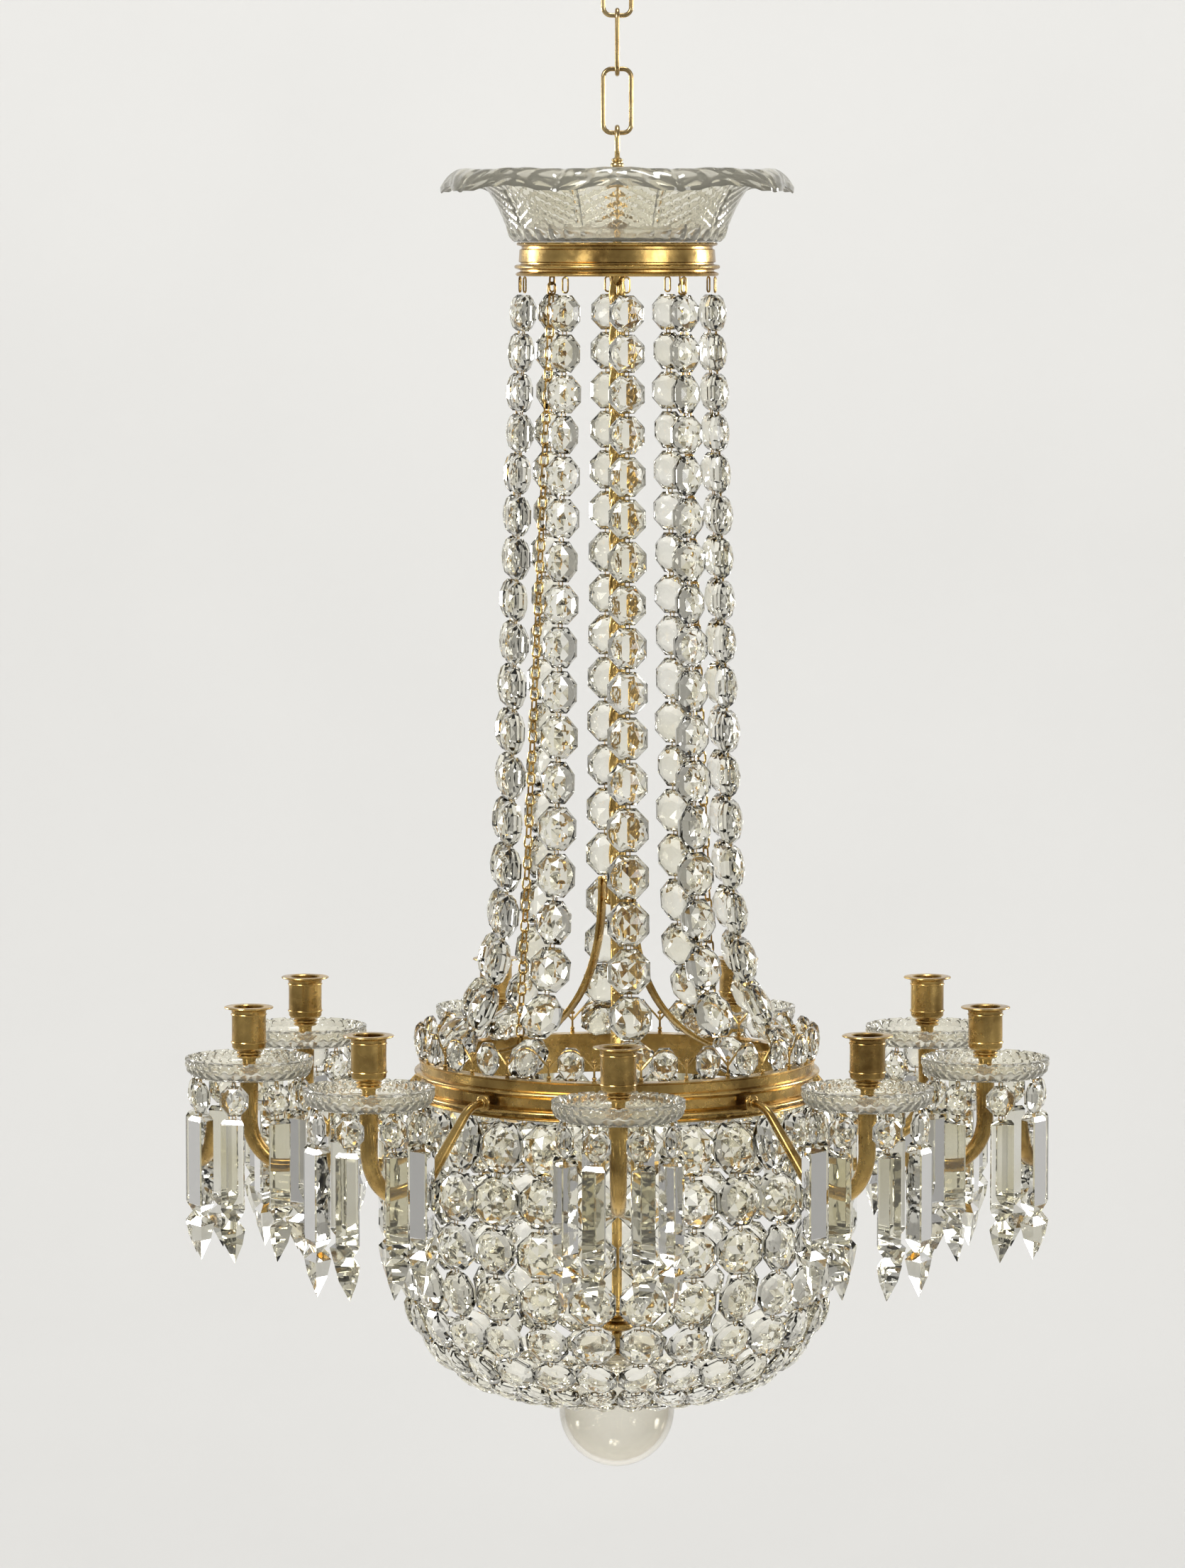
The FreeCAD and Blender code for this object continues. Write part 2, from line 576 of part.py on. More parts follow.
def arm_ring(point, heading, radius):
    """Corners of the arm's section, square to its heading."""
    turn = math.radians(heading)
    up = Vector(0, math.sin(turn), math.cos(turn))
    step = 2 * math.pi / ARM_SIDES
    return [point + up * (radius * math.cos(step * i)) + Vector(radius * math.sin(step * i), 0, 0)
            for i in range(ARM_SIDES)]


def arms():
    """Nine S-scroll arms that thicken like a horn from the boss on the ring to the pan seat."""
    sections = arm_sections()
    travelled = [0.0]
    for (a, _), (b, _) in zip(sections, sections[1:]):
        travelled.append(travelled[-1] + a.distanceToPoint(b))
    root, boss_z = RING_D / 2, RING_Z - ARM_ROOT_DROP
    rings = [arm_ring(front(root, boss_z), 0, ARM_BOSS_D / 2),
             arm_ring(front(root + ARM_BOSS_THICK, boss_z), 0, ARM_BOSS_D / 2)]
    for (point, heading), done in zip(sections, travelled):
        width = ARM_ROOT_D + (ARM_SEAT_D - ARM_ROOT_D) * done / travelled[-1]
        rings.append(arm_ring(point, heading, width / 2))
    save("arms", *around(faceted(rings), ARMS))


def cups():
    """Nine turned candle cups: spigot through the pan, foot, stalk, knop, body, flange and bore."""
    spigot, foot, stalk, knop = (d / 2 for d in (CUP_SPIGOT_D, CUP_FOOT_D, CUP_STALK_D, CUP_KNOP_D))
    body, flange, bore = CUP_BODY_D / 2, CUP_FLANGE_D / 2, CANDLE_BORE_D / 2
    foot_z, knop_z = PAN_FLOOR_Z + SEAT_PLAY, CUP_BODY_Z - CUP_KNOP_HEIGHT
    top = CUP_BODY_Z + CUP_BODY_HEIGHT
    cup = turned([
        (0, SEAT_Z), (spigot, SEAT_Z), (spigot, foot_z), (foot, foot_z), (stalk, knop_z),
        (knop, CUP_BODY_Z), (body, CUP_BODY_Z + CUP_CHAMFER), (body, top - CUP_FLANGE_HEIGHT),
        (flange, top), (0, top)])
    cup = cup.cut(Part.makeCylinder(bore, CANDLE_BORE_DEPTH, Vector(0, 0, top - CANDLE_BORE_DEPTH)))
    cup.translate(front(CANDLE_R, 0))
    save("candle_cups", *around(cup, ARMS))


def pans():
    """Nine cut-glass drip pans with scalloped rims."""
    def ring(diameter, z, scallop=0.0):
        points = polygon(SMALL_SIDES, diameter / 2, z)
        return [p + Vector(0, 0, scallop * (i % 2)) for i, p in enumerate(points)]

    hole_d = CUP_SPIGOT_D + 2 * SEAT_PLAY
    top = SEAT_Z + PAN_HEIGHT
    pan = faceted([
        ring(hole_d, SEAT_Z), ring(PAN_FOOT_D, SEAT_Z), ring(PAN_RIM_D, top, -PAN_SCALLOP),
        ring(PAN_RIM_D - 2 * PAN_WALL, top, -PAN_SCALLOP), ring(PAN_FOOT_D - 2 * PAN_WALL, PAN_FLOOR_Z),
        ring(hole_d, PAN_FLOOR_Z)], closed=True)
    pan.translate(front(CANDLE_R, 0))
    for k, piece in enumerate(around(pan, ARMS)):
        save(f"drip_pan_{k + 1}", piece)


def drop():
    """Button bead and spear prism, hung under the front of a pan centred on Z."""
    radius = DROP_CIRCLE_D / 2
    button = bead(BUTTON_HEIGHT, BUTTON_WIDTH, BUTTON_THICK)
    button.translate(front(radius, DROP_TOP_Z - BUTTON_HEIGHT / 2))

    def section(width, z):
        depth = width * math.sqrt(3) / 2
        return [front(radius - depth / 3, z, -width / 2), front(radius - depth / 3, z, width / 2),
                front(radius + depth * 2 / 3, z)]

    foot = PRISM_TOP_Z - PRISM_LENGTH
    spear = faceted([
        section(PRISM_WIDTH, PRISM_TOP_Z), section(PRISM_WIDTH, foot),
        section(WAIST_WIDTH, foot - WAIST_LENGTH),
        section(SPEAR_WIDTH, foot - WAIST_LENGTH - SPEAR_SHOULDER),
        [front(radius, foot - WAIST_LENGTH - SPEAR_SHOULDER - SPEAR_POINT)]])
    return [button, spear]


def drops():
    """Eight drops round each pan, spaced so that the arm comes in between two of them."""
    one = Part.makeCompound(drop())
    ring = Part.makeCompound(around(one, DROPS, 180.0 / DROPS))
    ring.translate(front(CANDLE_R, 0))
    for k, piece in enumerate(around(ring, ARMS)):
        save(f"drops_{k + 1}", piece)


# ---- bag and ball ---------------------------------------------------------------------------
def bag_path(share):
    """Centre line of a bag strand at the front, from the main ring to the foot ring."""
    top, bulge = RING_FOOT_Z - SEAT_PLAY, RING_FOOT_Z - BAG_BULGE_DROP
    start_r, end_r = RING_D / 2 - BAG_HEAD_INSET, FOOT_RING_D / 2 + BEAD_PLAY
    side = 1 / 3
    if share < side:
        turn = math.pi / 2 * share / side
        return front(start_r + (BAG_D / 2 - start_r) * math.sin(turn), top + (bulge - top) * share / side)
    turn, power = math.pi / 2 * (share - side) / (1 - side), 2 / BAG_FULLNESS
    return front(end_r + (BAG_D / 2 - end_r) * abs(math.cos(turn)) ** power,
                 bulge + (BAG_FOOT_Z - bulge) * math.sin(turn) ** power)


def bag():
    """Strands from the main ring to the foot ring, three to a bay between the arms."""
    half_turn = math.pi / BAG_STRANDS
    beads = Part.makeCompound(strand(
        bag_path, BAG_BEADS, BAG_BEAD_GROWTH, BAG_BEAD_ASPECT, BAG_BEAD_THICK,
        widest=lambda r: 2 * r * math.tan(half_turn) - BAG_SIDE_PLAY))
    strands = around(beads, BAG_STRANDS, math.degrees(half_turn))
    per_bay = BAG_STRANDS // ARMS
    for k in range(ARMS):
        save(f"bag_strands_{k + 1}", *strands[per_bay * k:per_bay * (k + 1)])
    outer, inner = FOOT_RING_D / 2, FOOT_RING_BORE_D / 2
    half = FOOT_RING_HEIGHT / 2
    corners = [(outer, half), (outer, -half), (inner, -half), (inner, half)]
    save("foot_ring", faceted([polygon(BAG_STRANDS, radius, BAG_FOOT_Z + rise, 0.5)
                               for radius, rise in corners], closed=True))


def ball():
    """Hollow glass ball, open at the neck, and the brass cap that it hangs by."""
    def skin(radius):
        neck = math.asin(BALL_NECK_D / 2 / radius)
        turns = [neck + (math.pi - neck) * k / BALL_BANDS for k in range(BALL_BANDS)]
        rings = [polygon(BALL_SIDES, radius * math.sin(turn), BALL_Z + radius * math.cos(turn))
                 for turn in turns]
        return rings + [[Vector(0, 0, BALL_Z - radius)]]

    outer, inner = skin(BALL_D / 2), skin(BALL_D / 2 - BALL_WALL)
    save("glass_ball", solid_of(bands(outer) + bands(inner) + bands([outer[0], inner[0]])))
    bore, edge, top = ROD_D / 2 + CAP_PLAY, CAP_D / 2, BALL_RIM_Z + CAP_THICK
    edge_z = BALL_Z + math.sqrt((BALL_D / 2) ** 2 - edge ** 2) + SEAT_PLAY
    save("ball_cap", turned([
        (bore, top), (edge - CAP_THICK / 2, top), (edge, edge_z), (BALL_NECK_D / 2, BALL_RIM_Z),
        (bore, BALL_RIM_Z)]))


os.makedirs("parts", exist_ok=True)
chain()
stem()
corona()
crown()
tent()
straps()
support_chains()
main_ring()
gallery()
arms()
cups()
pans()
drops()
bag()
ball()
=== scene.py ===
"""Crystal chandelier: tent and bag of cut beads, nine candle arms, glass crown and ball.

Laid out as an add-on and run as a script.  Everything is in metres, in the frame of the CAD
model; bearings go round Z from the front, which is -Y.
"""
import math

import bmesh
import bpy
from bpy.props import FloatProperty, FloatVectorProperty, IntProperty, PointerProperty
from mathutils import Matrix, Vector


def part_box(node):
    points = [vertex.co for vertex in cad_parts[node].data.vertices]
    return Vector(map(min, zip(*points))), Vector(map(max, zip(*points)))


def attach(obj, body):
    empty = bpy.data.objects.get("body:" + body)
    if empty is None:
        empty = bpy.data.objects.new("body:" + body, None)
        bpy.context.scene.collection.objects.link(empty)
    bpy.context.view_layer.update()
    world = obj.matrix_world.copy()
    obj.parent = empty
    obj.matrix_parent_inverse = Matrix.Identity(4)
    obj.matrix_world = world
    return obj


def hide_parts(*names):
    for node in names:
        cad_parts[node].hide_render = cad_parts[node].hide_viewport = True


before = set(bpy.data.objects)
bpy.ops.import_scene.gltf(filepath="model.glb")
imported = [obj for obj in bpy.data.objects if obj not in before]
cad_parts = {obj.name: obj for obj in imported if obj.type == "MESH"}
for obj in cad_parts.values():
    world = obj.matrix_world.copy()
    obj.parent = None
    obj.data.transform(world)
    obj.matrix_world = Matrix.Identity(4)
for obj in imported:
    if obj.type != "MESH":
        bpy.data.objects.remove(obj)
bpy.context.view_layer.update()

bl_info = {
    "name": "Crystal Chandelier",
    "version": (1, 0, 0),
    "blender": (4, 5, 0),
    "location": "3D View > Sidebar > Chandelier",
    "description": "Builds a tent-and-bag crystal chandelier round its CAD model",
    "category": "Add Mesh",
}

RING_LOW, RING_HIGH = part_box("main_ring")
RING_RADIUS = RING_HIGH.y
BODY = "chandelier"
MM = 0.001

# Counts that the CAD model fixes.
ARMS = 9
STRAPS = 3
GALLERY_POSTS = 27
BEAD_CORNERS = 8        # a CAD bead is a double pyramid of six sides,
BEAD_TIP_EDGES = 6      # with six edges at each of its two tips

# Steepest edge, in degrees, that is still shaded smooth.
SHARP_FACETS, SHARP_CUTS, SHARP_METAL, SHARP_TWIST, SHARP_BALL = 5.0, 28.0, 35.0, 50.0, 60.0


# ---- sizes and colours that a user would change ----
def length(name, value, text):
    return FloatProperty(name=name, description=text, default=value, min=0.0, unit="LENGTH", precision=4)


def share(name, value, text, low, high):
    return FloatProperty(name=name, description=text, default=value, min=low, max=high, subtype="FACTOR")


def angle(name, degrees, text):
    return FloatProperty(name=name, description=text, default=math.radians(degrees), subtype="ANGLE")


def number(name, value, text, least):
    return IntProperty(name=name, description=text, default=value, min=least)


def colour(name, value, text):
    return FloatVectorProperty(name=name, description=text, default=value, min=0.0, max=1.0,
                               size=3, subtype="COLOR")


class ChandelierMetal(bpy.types.PropertyGroup):
    link_length: length("Link length", 0.0523, "Outside length of a chain link")
    link_width: length("Link width", 0.025, "Outside width of a chain link")
    link_wire: length("Link wire", 0.0036, "Across the wire of a chain link")
    link_corner: share("Link corner", 0.58, "Radius of a link's corners over its half width", 0.1, 0.98)
    eye_length: length("Eye length", 0.028, "Outside length of the eye on the stem")
    eye_width: length("Eye width", 0.022, "Outside width of the eye on the stem")
    eye_wire: length("Eye wire", 0.004, "Across the wire of the eye")
    stem_turns: number("Stem turns", 7, "Full turns of the twisted stem", 1)
    stem_lobe: share("Stem lobe", 0.2, "Depth of the twist's grooves over its radius", 0.0, 0.5)
    support_link: length("Support link", 0.0115, "Outside length of a support chain's link")
    support_width: length("Support link width", 0.008, "Outside width of a support chain's link")
    support_wire: length("Support wire", 0.0016, "Across the wire of a support chain")
    pin_wire: length("Pin wire", 0.0009, "Across the wire of the pins between beads")
    pin_length: length("Pin length", 0.0085, "Length of a pin between two beads")
    pin_width: length("Pin width", 0.0042, "Width of a pin between two beads")
    drop_loop: length("Drop loop", 0.0075, "Length of the wire loops over and under a button")
    drop_loop_width: length("Drop loop width", 0.0036, "Width of those wire loops")
    hook_width: length("Hook width", 0.0062, "Width of a tent hook")
    hook_wire: length("Hook wire", 0.0014, "Across the wire of a tent hook")
    strap_width: length("Strap width", 0.010, "Width of a stem strap")
    strap_thick: length("Strap thickness", 0.003, "Thickness of a stem strap")
    arm_reach: length("Arm reach", 0.130, "From the main ring out to the candle's axis")
    arm_drop: length("Arm drop", 0.0195, "From the top of the main ring down to an arm's boss")
    arm_shoulder: length("Arm shoulder", 0.026, "Radius of the bend that turns an arm down")
    arm_hook: length("Arm hook", 0.040, "Radius of the bend that turns it up")
    arm_slope: angle("Arm slope", 47.0, "Slope between the two bends")
    arm_root: length("Arm root", 0.006, "Thickness of an arm at the main ring")
    arm_seat: length("Arm seat", 0.0145, "Thickness of an arm under the pan")


class ChandelierGlass(bpy.types.PropertyGroup):
    bead_fill: share("Bead fill", 0.95, "Height of a bead over its share of the strand", 0.5, 1.0)
    bead_girdle: share("Bead girdle", 0.16, "Straight edge of a bead over its thickness", 0.02, 0.6)
    bead_bezel: share("Bead bezel", 0.11, "Width of the outer facets over the bead", 0.02, 0.2)
    bead_star: share("Bead star", 0.17, "Width of the star facets over the bead", 0.02, 0.25)
    bead_swing: angle("Bead swing", 9.0, "Most that a wired bead turns about its height")
    prism_width: length("Prism width", 0.020, "Width of a drop's prism and of its arrow point")
    prism_waist: length("Prism waist", 0.007, "Width of a drop at its waist")
    waist_length: length("Waist length", 0.006, "Length of a drop's waist, and of its arrow's shoulder")
    point_length: length("Point length", 0.027, "Length of a drop's arrow point")
    crown_wall: length("Crown wall", 0.0045, "Thickness of the crown's glass")
    crown_lobes: number("Crown lobes", 9, "Lobes round the crown's lip", 3)
    crown_lobe: length("Crown lobe depth", 0.007, "How far the lip draws in between two lobes")
    crown_cuts: number("Crown cuts", 36, "Flutes cut round the crown", 9)
    crown_cut: length("Crown cut depth", 0.0019, "Depth of the crown's flutes")
    pan_wall: length("Pan wall", 0.0035, "Thickness of a drip pan's glass")
    pan_cuts: number("Pan cuts", 36, "Hobnails round a drip pan", 6)
    pan_blocks: number("Pan blocks", 18, "Blocks cut in a drip pan's rim", 6)
    pan_cut: length("Pan cut depth", 0.0014, "Depth of a drip pan's mitre cuts")
    ball_size: length("Ball diameter", 0.090, "Outside diameter of the hollow ball")
    ball_wall: length("Ball wall", 0.004, "Thickness of the ball's glass")


class ChandelierColours(bpy.types.PropertyGroup):
    gilt: colour("Gilt brass", (0.60, 0.405, 0.14), "Lacquered brass of the frame")
    # Painted shade: the dark tone of this brass in shade, which brass() mixes into the gilt colour in random
    # patches.
    gilt_shade: colour("Gilt in shade", (0.23, 0.135, 0.04), "Same brass as painted shade, mixed in random patches")
    chain: colour("Chain brass", (0.62, 0.48, 0.25), "Paler brass of the hanging chain")
    # Painted shade: the same dark tone in shade, for the chain's brass.
    chain_shade: colour("Chain in shade", (0.28, 0.18, 0.075), "Same brass as painted shade, mixed in random patches")
    crystal: colour("Crystal", (0.955, 0.945, 0.885), "Tint of the beads and drops")
    crystal_deep: colour("Crystal, deep", (0.875, 0.85, 0.73), "Tint in the thicker crystal")
    glass: colour("Cut glass", (0.95, 0.93, 0.84), "Tint of the crown and drip pans")
    glass_edge: colour("Glass at its edge", (0.70, 0.66, 0.52), "Tint where one looks along a wall of glass")
    ball: colour("Ball glass", (0.955, 0.94, 0.885), "Tint of the ball seen square on")
    ball_edge: colour("Ball at its edge", (0.40, 0.34, 0.22), "Tint where one looks along the ball's wall")
    stage: colour("Stage", (0.72, 0.715, 0.70), "Plain floor and backdrop")


# ---- materials ----
class Recipe:
    """A material with one surface shader and short ways to add texture nodes."""

    def __init__(self, name, **settings):
        self.material = bpy.data.materials.new(name)
        self.material.use_nodes = True
        self.tree = self.material.node_tree
        self.shader = self.tree.nodes["Principled BSDF"]
        for socket, value in settings.items():
            self.shader.inputs[socket.replace("_", " ")].default_value = value
        self.place = self.add("ShaderNodeTexCoord").outputs["Object"]

    def add(self, kind, links=(), **settings):
        node = self.tree.nodes.new(kind)
        for key, value in settings.items():
            if hasattr(node, key):
                setattr(node, key, value)
            else:
                node.inputs[key.replace("_", " ")].default_value = value
        for socket, source in dict(links).items():
            self.tree.links.new(source, node.inputs[socket])
        return node

    def noise(self, scale, detail=3.0, rough=0.55):
        return self.add("ShaderNodeTexNoise", {"Vector": self.place}, Scale=scale, Detail=detail,
                        Roughness=rough).outputs["Fac"]

    def between(self, mask, low, high):
        """Numbers from low to high as the mask goes over its middle range."""
        return self.add("ShaderNodeMapRange", {"Value": mask}, From_Min=0.3, From_Max=0.7,
                        To_Min=low, To_Max=high).outputs["Result"]

    def blend(self, mask, first, second, low=0.35, high=0.65):
        ramp = self.add("ShaderNodeValToRGB", {"Fac": mask})
        ramp.color_ramp.elements[0].position, ramp.color_ramp.elements[1].position = low, high
        ramp.color_ramp.elements[0].color = (*first, 1.0)
        ramp.color_ramp.elements[1].color = (*second, 1.0)
        return ramp.outputs["Color"]

    def bump(self, height, strength, distance):
        self.to("Normal", self.add("ShaderNodeBump", {"Height": height}, Strength=strength,
                                   Distance=distance).outputs["Normal"])

    def to(self, socket, source):
        self.tree.links.new(source, self.shader.inputs[socket])


# Scales of the noise textures, in waves to the metre.
BRASS_SHADE_PATCHES, BRASS_POLISH, BRASS_CASTING = 28.0, 90.0, 420.0
GLASS_TONE, GLASS_POLISH, GLASS_RIPPLE = 16.0, 55.0, 130.0
STAGE_TONE = 1.5


def brass(name, bright, shade, smooth, rough):
    """Lacquered cast brass: painted shade in random patches, fine casting texture and uneven polish."""
    made = Recipe(name, Metallic=1.0)
    # Painted shade: the colour of the brass in shade is mixed into its lit colour in random patches of noise.
    made.to("Base Color", made.blend(made.noise(BRASS_SHADE_PATCHES, 5.0, 0.6), shade, bright, 0.30, 0.58))
    made.to("Roughness", made.between(made.noise(BRASS_POLISH, 4.0), rough, smooth))
    made.bump(made.noise(BRASS_CASTING), strength=0.12, distance=0.4 * MM)
    return made.material


def crystal(name, pale, deep, ripple, index, edge=None, narrow=0.2, clear=1.0):
    """Clear lead glass: warm tint that drifts from bead to bead and deepens at the rim of a wall."""
    made = Recipe(name, Transmission_Weight=clear, IOR=index)
    tint = made.blend(made.noise(GLASS_TONE, 2.0), deep, pale, 0.35, 0.62)
    if edge is not None:
        facing = made.add("ShaderNodeLayerWeight", Blend=narrow).outputs["Facing"]
        # Sockets 6 and 7 of a Mix node are its two colours, and output 2 is the mixed colour.
        rim = made.add("ShaderNodeMix", {0: facing, 6: tint}, data_type="RGBA")
        rim.inputs[7].default_value = (*edge, 1.0)
        tint = rim.outputs[2]
    made.to("Base Color", tint)
    made.to("Roughness", made.between(made.noise(GLASS_POLISH, 2.0), 0.0, 0.035))
    made.bump(made.noise(GLASS_RIPPLE, 2.0), strength=ripple, distance=0.6 * MM)
    return made.material


def make_finishes(colours):
    """Every finish of the object, by slot."""
    bead_tints = colours.crystal, colours.crystal_deep
    return {
        "chain_brass": brass("chain brass", colours.chain, colours.chain_shade, 0.16, 0.34),
        "gilt_brass": brass("gilt brass", colours.gilt, colours.gilt_shade, 0.14, 0.36),
        "bead_crystal": crystal("bead crystal", *bead_tints, 0.05, 1.60),
        "drop_crystal": crystal("drop crystal", *bead_tints, 0.04, 1.60),
        "cut_glass": crystal("cut glass", colours.glass, colours.crystal_deep, 0.12, 1.54,
                             colours.glass_edge, clear=0.9),
        "ball_glass": crystal("ball glass", colours.ball, colours.ball, 0.03, 1.52,
                              colours.ball_edge, narrow=0.3),
    }


FINISHES = {}


# ---- mesh helpers ----
def piece(name, mesh, nodes, slot="gilt_brass", body=BODY, sharp=SHARP_METAL):
    """Puts a finished mesh in the scene with its material, on the body it rides on, and hides the CAD nodes
    that it stands for.
    """
    if isinstance(mesh, bmesh.types.BMesh):
        made = bpy.data.meshes.new(name)
        mesh.to_mesh(made)
        mesh.free()
        mesh = made
    if not mesh.polygons:
        raise RuntimeError(f"{name} came out empty")
    mesh.shade_smooth()
    mesh.set_sharp_from_angle(angle=math.radians(sharp))
    mesh.materials.clear()
    mesh.materials.append(FINISHES[slot])
    new = bpy.data.objects.new(name, mesh)
    bpy.context.scene.collection.objects.link(new)
    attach(new, body)
    if nodes:
        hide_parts(*nodes)
    return new


def pattern(bm, name="pattern"):
    """A shape to be copied many times."""
    mesh = bpy.data.meshes.new(name)
    bm.to_mesh(mesh)
    bm.free()
    return mesh


def add_copy(bm, shape, place):
    """Adds a copy of a pattern, moved by a matrix, to a mesh from which nothing has been taken."""
    first = len(bm.verts)
    bm.from_mesh(shape)
    bm.verts.ensure_lookup_table()
    bmesh.ops.transform(bm, matrix=place, verts=bm.verts[first:])


def ring_of(shape, count, start=0.0, out=0.0, rise=0.0):
    """A mesh of copies of a pattern made at the front, spaced evenly round Z."""
    bm = bmesh.new()
    for k in range(count):
        turn = Matrix.Rotation(math.radians(start + 360.0 * k / count), 4, "Z")
        add_copy(bm, shape, turn @ Matrix.Translation((0.0, -out, rise)))
    return bm


def outward(bm):
    bmesh.ops.recalc_face_normals(bm, faces=bm.faces)
    return bm


def tidy(bm):
    """Merges doubles and turns every face outwards."""
    bmesh.ops.remove_doubles(bm, verts=bm.verts, dist=1e-6)
    return outward(bm)


def turned(outline, steps=96, closed=False):
    """Spins an outline of (radius, height) points round Z."""
    bm = bmesh.new()
    verts = [bm.verts.new((r, 0.0, z)) for r, z in outline]
    pairs = list(zip(verts, verts[1:])) + ([(verts[-1], verts[0])] if closed else [])
    edges = [bm.edges.new(pair) for pair in pairs]
    bmesh.ops.spin(bm, geom=verts + edges, cent=(0, 0, 0), axis=(0, 0, 1), angle=2 * math.pi,
                   steps=steps, use_merge=True)
    return tidy(bm)


def swell(radius, high, low, out, points=6):
    """Outline points of a half-round moulding from high down to low; a cove if out is negative."""
    middle, half = (high + low) / 2, (high - low) / 2
    turns = [math.pi * k / points for k in range(points + 1)]
    return [(radius + out * math.sin(turn), middle + half * math.cos(turn)) for turn in turns]


def profile(r, z, rows):
    """Outline in millimetres out and up from (r, z).

    A row of two is a point; (out, high, low, swell) or (out, high, low, swell, points) is a moulding.
    """
    line = []
    for out, up, *moulding in rows:
        if moulding:
            foot, bulge, *points = moulding
            line += swell(r + out * MM, z + up * MM, z + foot * MM, bulge * MM, *points)
        else:
            line.append((r + out * MM, z + up * MM))
    return line


def verts_of(made):
    """The vertices among what a mesh operation made."""
    return [item for item in made["geom"] if isinstance(item, bmesh.types.BMVert)]


def bevel(bm, edges, width, segments):
    bmesh.ops.bevel(bm, geom=edges, offset=width, offset_type="OFFSET", affect="EDGES",
                    segments=segments, profile=0.5, material=-1)


def axes(side, out, up, at):
    """Matrix with these X, Y and Z axes and this origin."""
    place = Matrix((side, out, up)).transposed().to_4x4()
    place.translation = at
    return place


def wire_loop(long, wide, wire, steps=5, sides=10, corner=0.9):
    """A link in the XZ plane, centred on the origin; corner is its bend over its half width."""
    bend = corner * (wide - wire) / 2
    x, z = (wide - wire) / 2 - bend, (long - wire) / 2 - bend
    bm = bmesh.new()
    ring = bmesh.ops.create_circle(bm, segments=sides, radius=wire / 2,
                                   matrix=Matrix.Translation((x + bend, 0.0, z)))["verts"]
    bmesh.ops.spin(bm, geom=ring + bm.edges[:], cent=(x, 0, z), axis=(0, 1, 0), angle=-math.pi / 2,
                   steps=steps)
    for flip in ((-1, 1, 1), (1, 1, -1)):
        other = bmesh.ops.duplicate(bm, geom=bm.verts[:] + bm.edges[:] + bm.faces[:])
        bmesh.ops.scale(bm, vec=flip, verts=verts_of(other))
    for axis, across, level in (("x", "z", x), ("z", "x", z)):
        for side in (1, -1):
            ends = [edge for edge in bm.edges if edge.is_boundary and all(
                abs(abs(getattr(vert.co, axis)) - level) < 1e-7 and getattr(vert.co, across) * side > 0
                for vert in edge.verts)]
            bmesh.ops.bridge_loops(bm, edges=ends)
    return tidy(bm)


def tube(points, radii, sides=12):
    """A round bar along points, with its own radius at each."""
    curve = bpy.data.curves.new("bar", "CURVE")
    curve.dimensions, curve.bevel_depth, curve.bevel_resolution = "3D", 1.0, max(0, sides // 2 - 2)
    curve.use_fill_caps = True
    line = curve.splines.new("POLY")
    line.points.add(len(points) - 1)
    for spot, place, radius in zip(line.points, points, radii):
        spot.co, spot.radius = (*place, 1.0), radius
    bar = bpy.data.objects.new("bar", curve)
    mesh = bpy.data.meshes.new_from_object(bar)
    bpy.data.objects.remove(bar)
    bpy.data.curves.remove(curve)
    return mesh


# ---- what the CAD model says ----
def nodes_like(start):
    return sorted(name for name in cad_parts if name.startswith(start))


def corners_of(node):
    """For each solid of a CAD node, its corners and how many edges meet at each."""
    bm = bmesh.new()
    bm.from_mesh(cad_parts[node].data)
    bmesh.ops.remove_doubles(bm, verts=bm.verts, dist=2e-5)
    left, solids = set(bm.verts), []
    while left:
        group, edge = [], [left.pop()]
        while edge:
            vert = edge.pop()
            group.append(vert)
            near = {e.other_vert(vert) for e in vert.link_edges} & left
            left -= near
            edge += near
        solids.append([(vert.co.copy(), len(vert.link_edges)) for vert in group])
    bm.free()
    return solids


def middle_of(places):
    return sum(places, Vector()) / len(places)


def bead_seat(corners):
    """Matrix that lays a unit bead where the CAD bead is: its width, thickness and height."""
    tips = [place for place, edges in corners if edges == BEAD_TIP_EDGES]
    girdle = [place for place, edges in corners if edges != BEAD_TIP_EDGES]
    centre = middle_of(girdle)
    across = sorted(girdle, key=lambda place: abs(place.z - centre.z))[:2]
    side, thick = across[1] - across[0], tips[1] - tips[0]
    if thick.xy.dot(centre.xy) < 0:
        thick.negate()
    if side.cross(thick).z < 0:
        side.negate()
    up = side.cross(thick).normalized()
    heights = [place.dot(up) for place in girdle]
    return axes(side, thick, up * (max(heights) - min(heights)), centre)


def seats_in(node):
    """Seats of all the beads in a node, from the top down."""
    seats = [bead_seat(corners) for corners in corners_of(node) if len(corners) == BEAD_CORNERS]
    return sorted(seats, key=lambda seat: -seat.translation.z)


def strands_in(node, count):
    """The seats of a node, parted into its strands by their bearing."""
    seats = seats_in(node)
    strands = []
    for head in seats[:count]:
        aim = head.translation.xy.normalized()
        own = sorted(seats, key=lambda seat: -seat.translation.xy.normalized().dot(aim))
        strands.append(sorted(own[:len(seats) // count], key=lambda seat: -seat.translation.z))
    return strands


# ---- cut crystal ----
# Shares of a bead's half thickness that its rings of facets and the point behind take.
FACET_RINGS, LOW_POINT = ((0.52, "bead_bezel"), (0.28, "bead_star")), 0.2


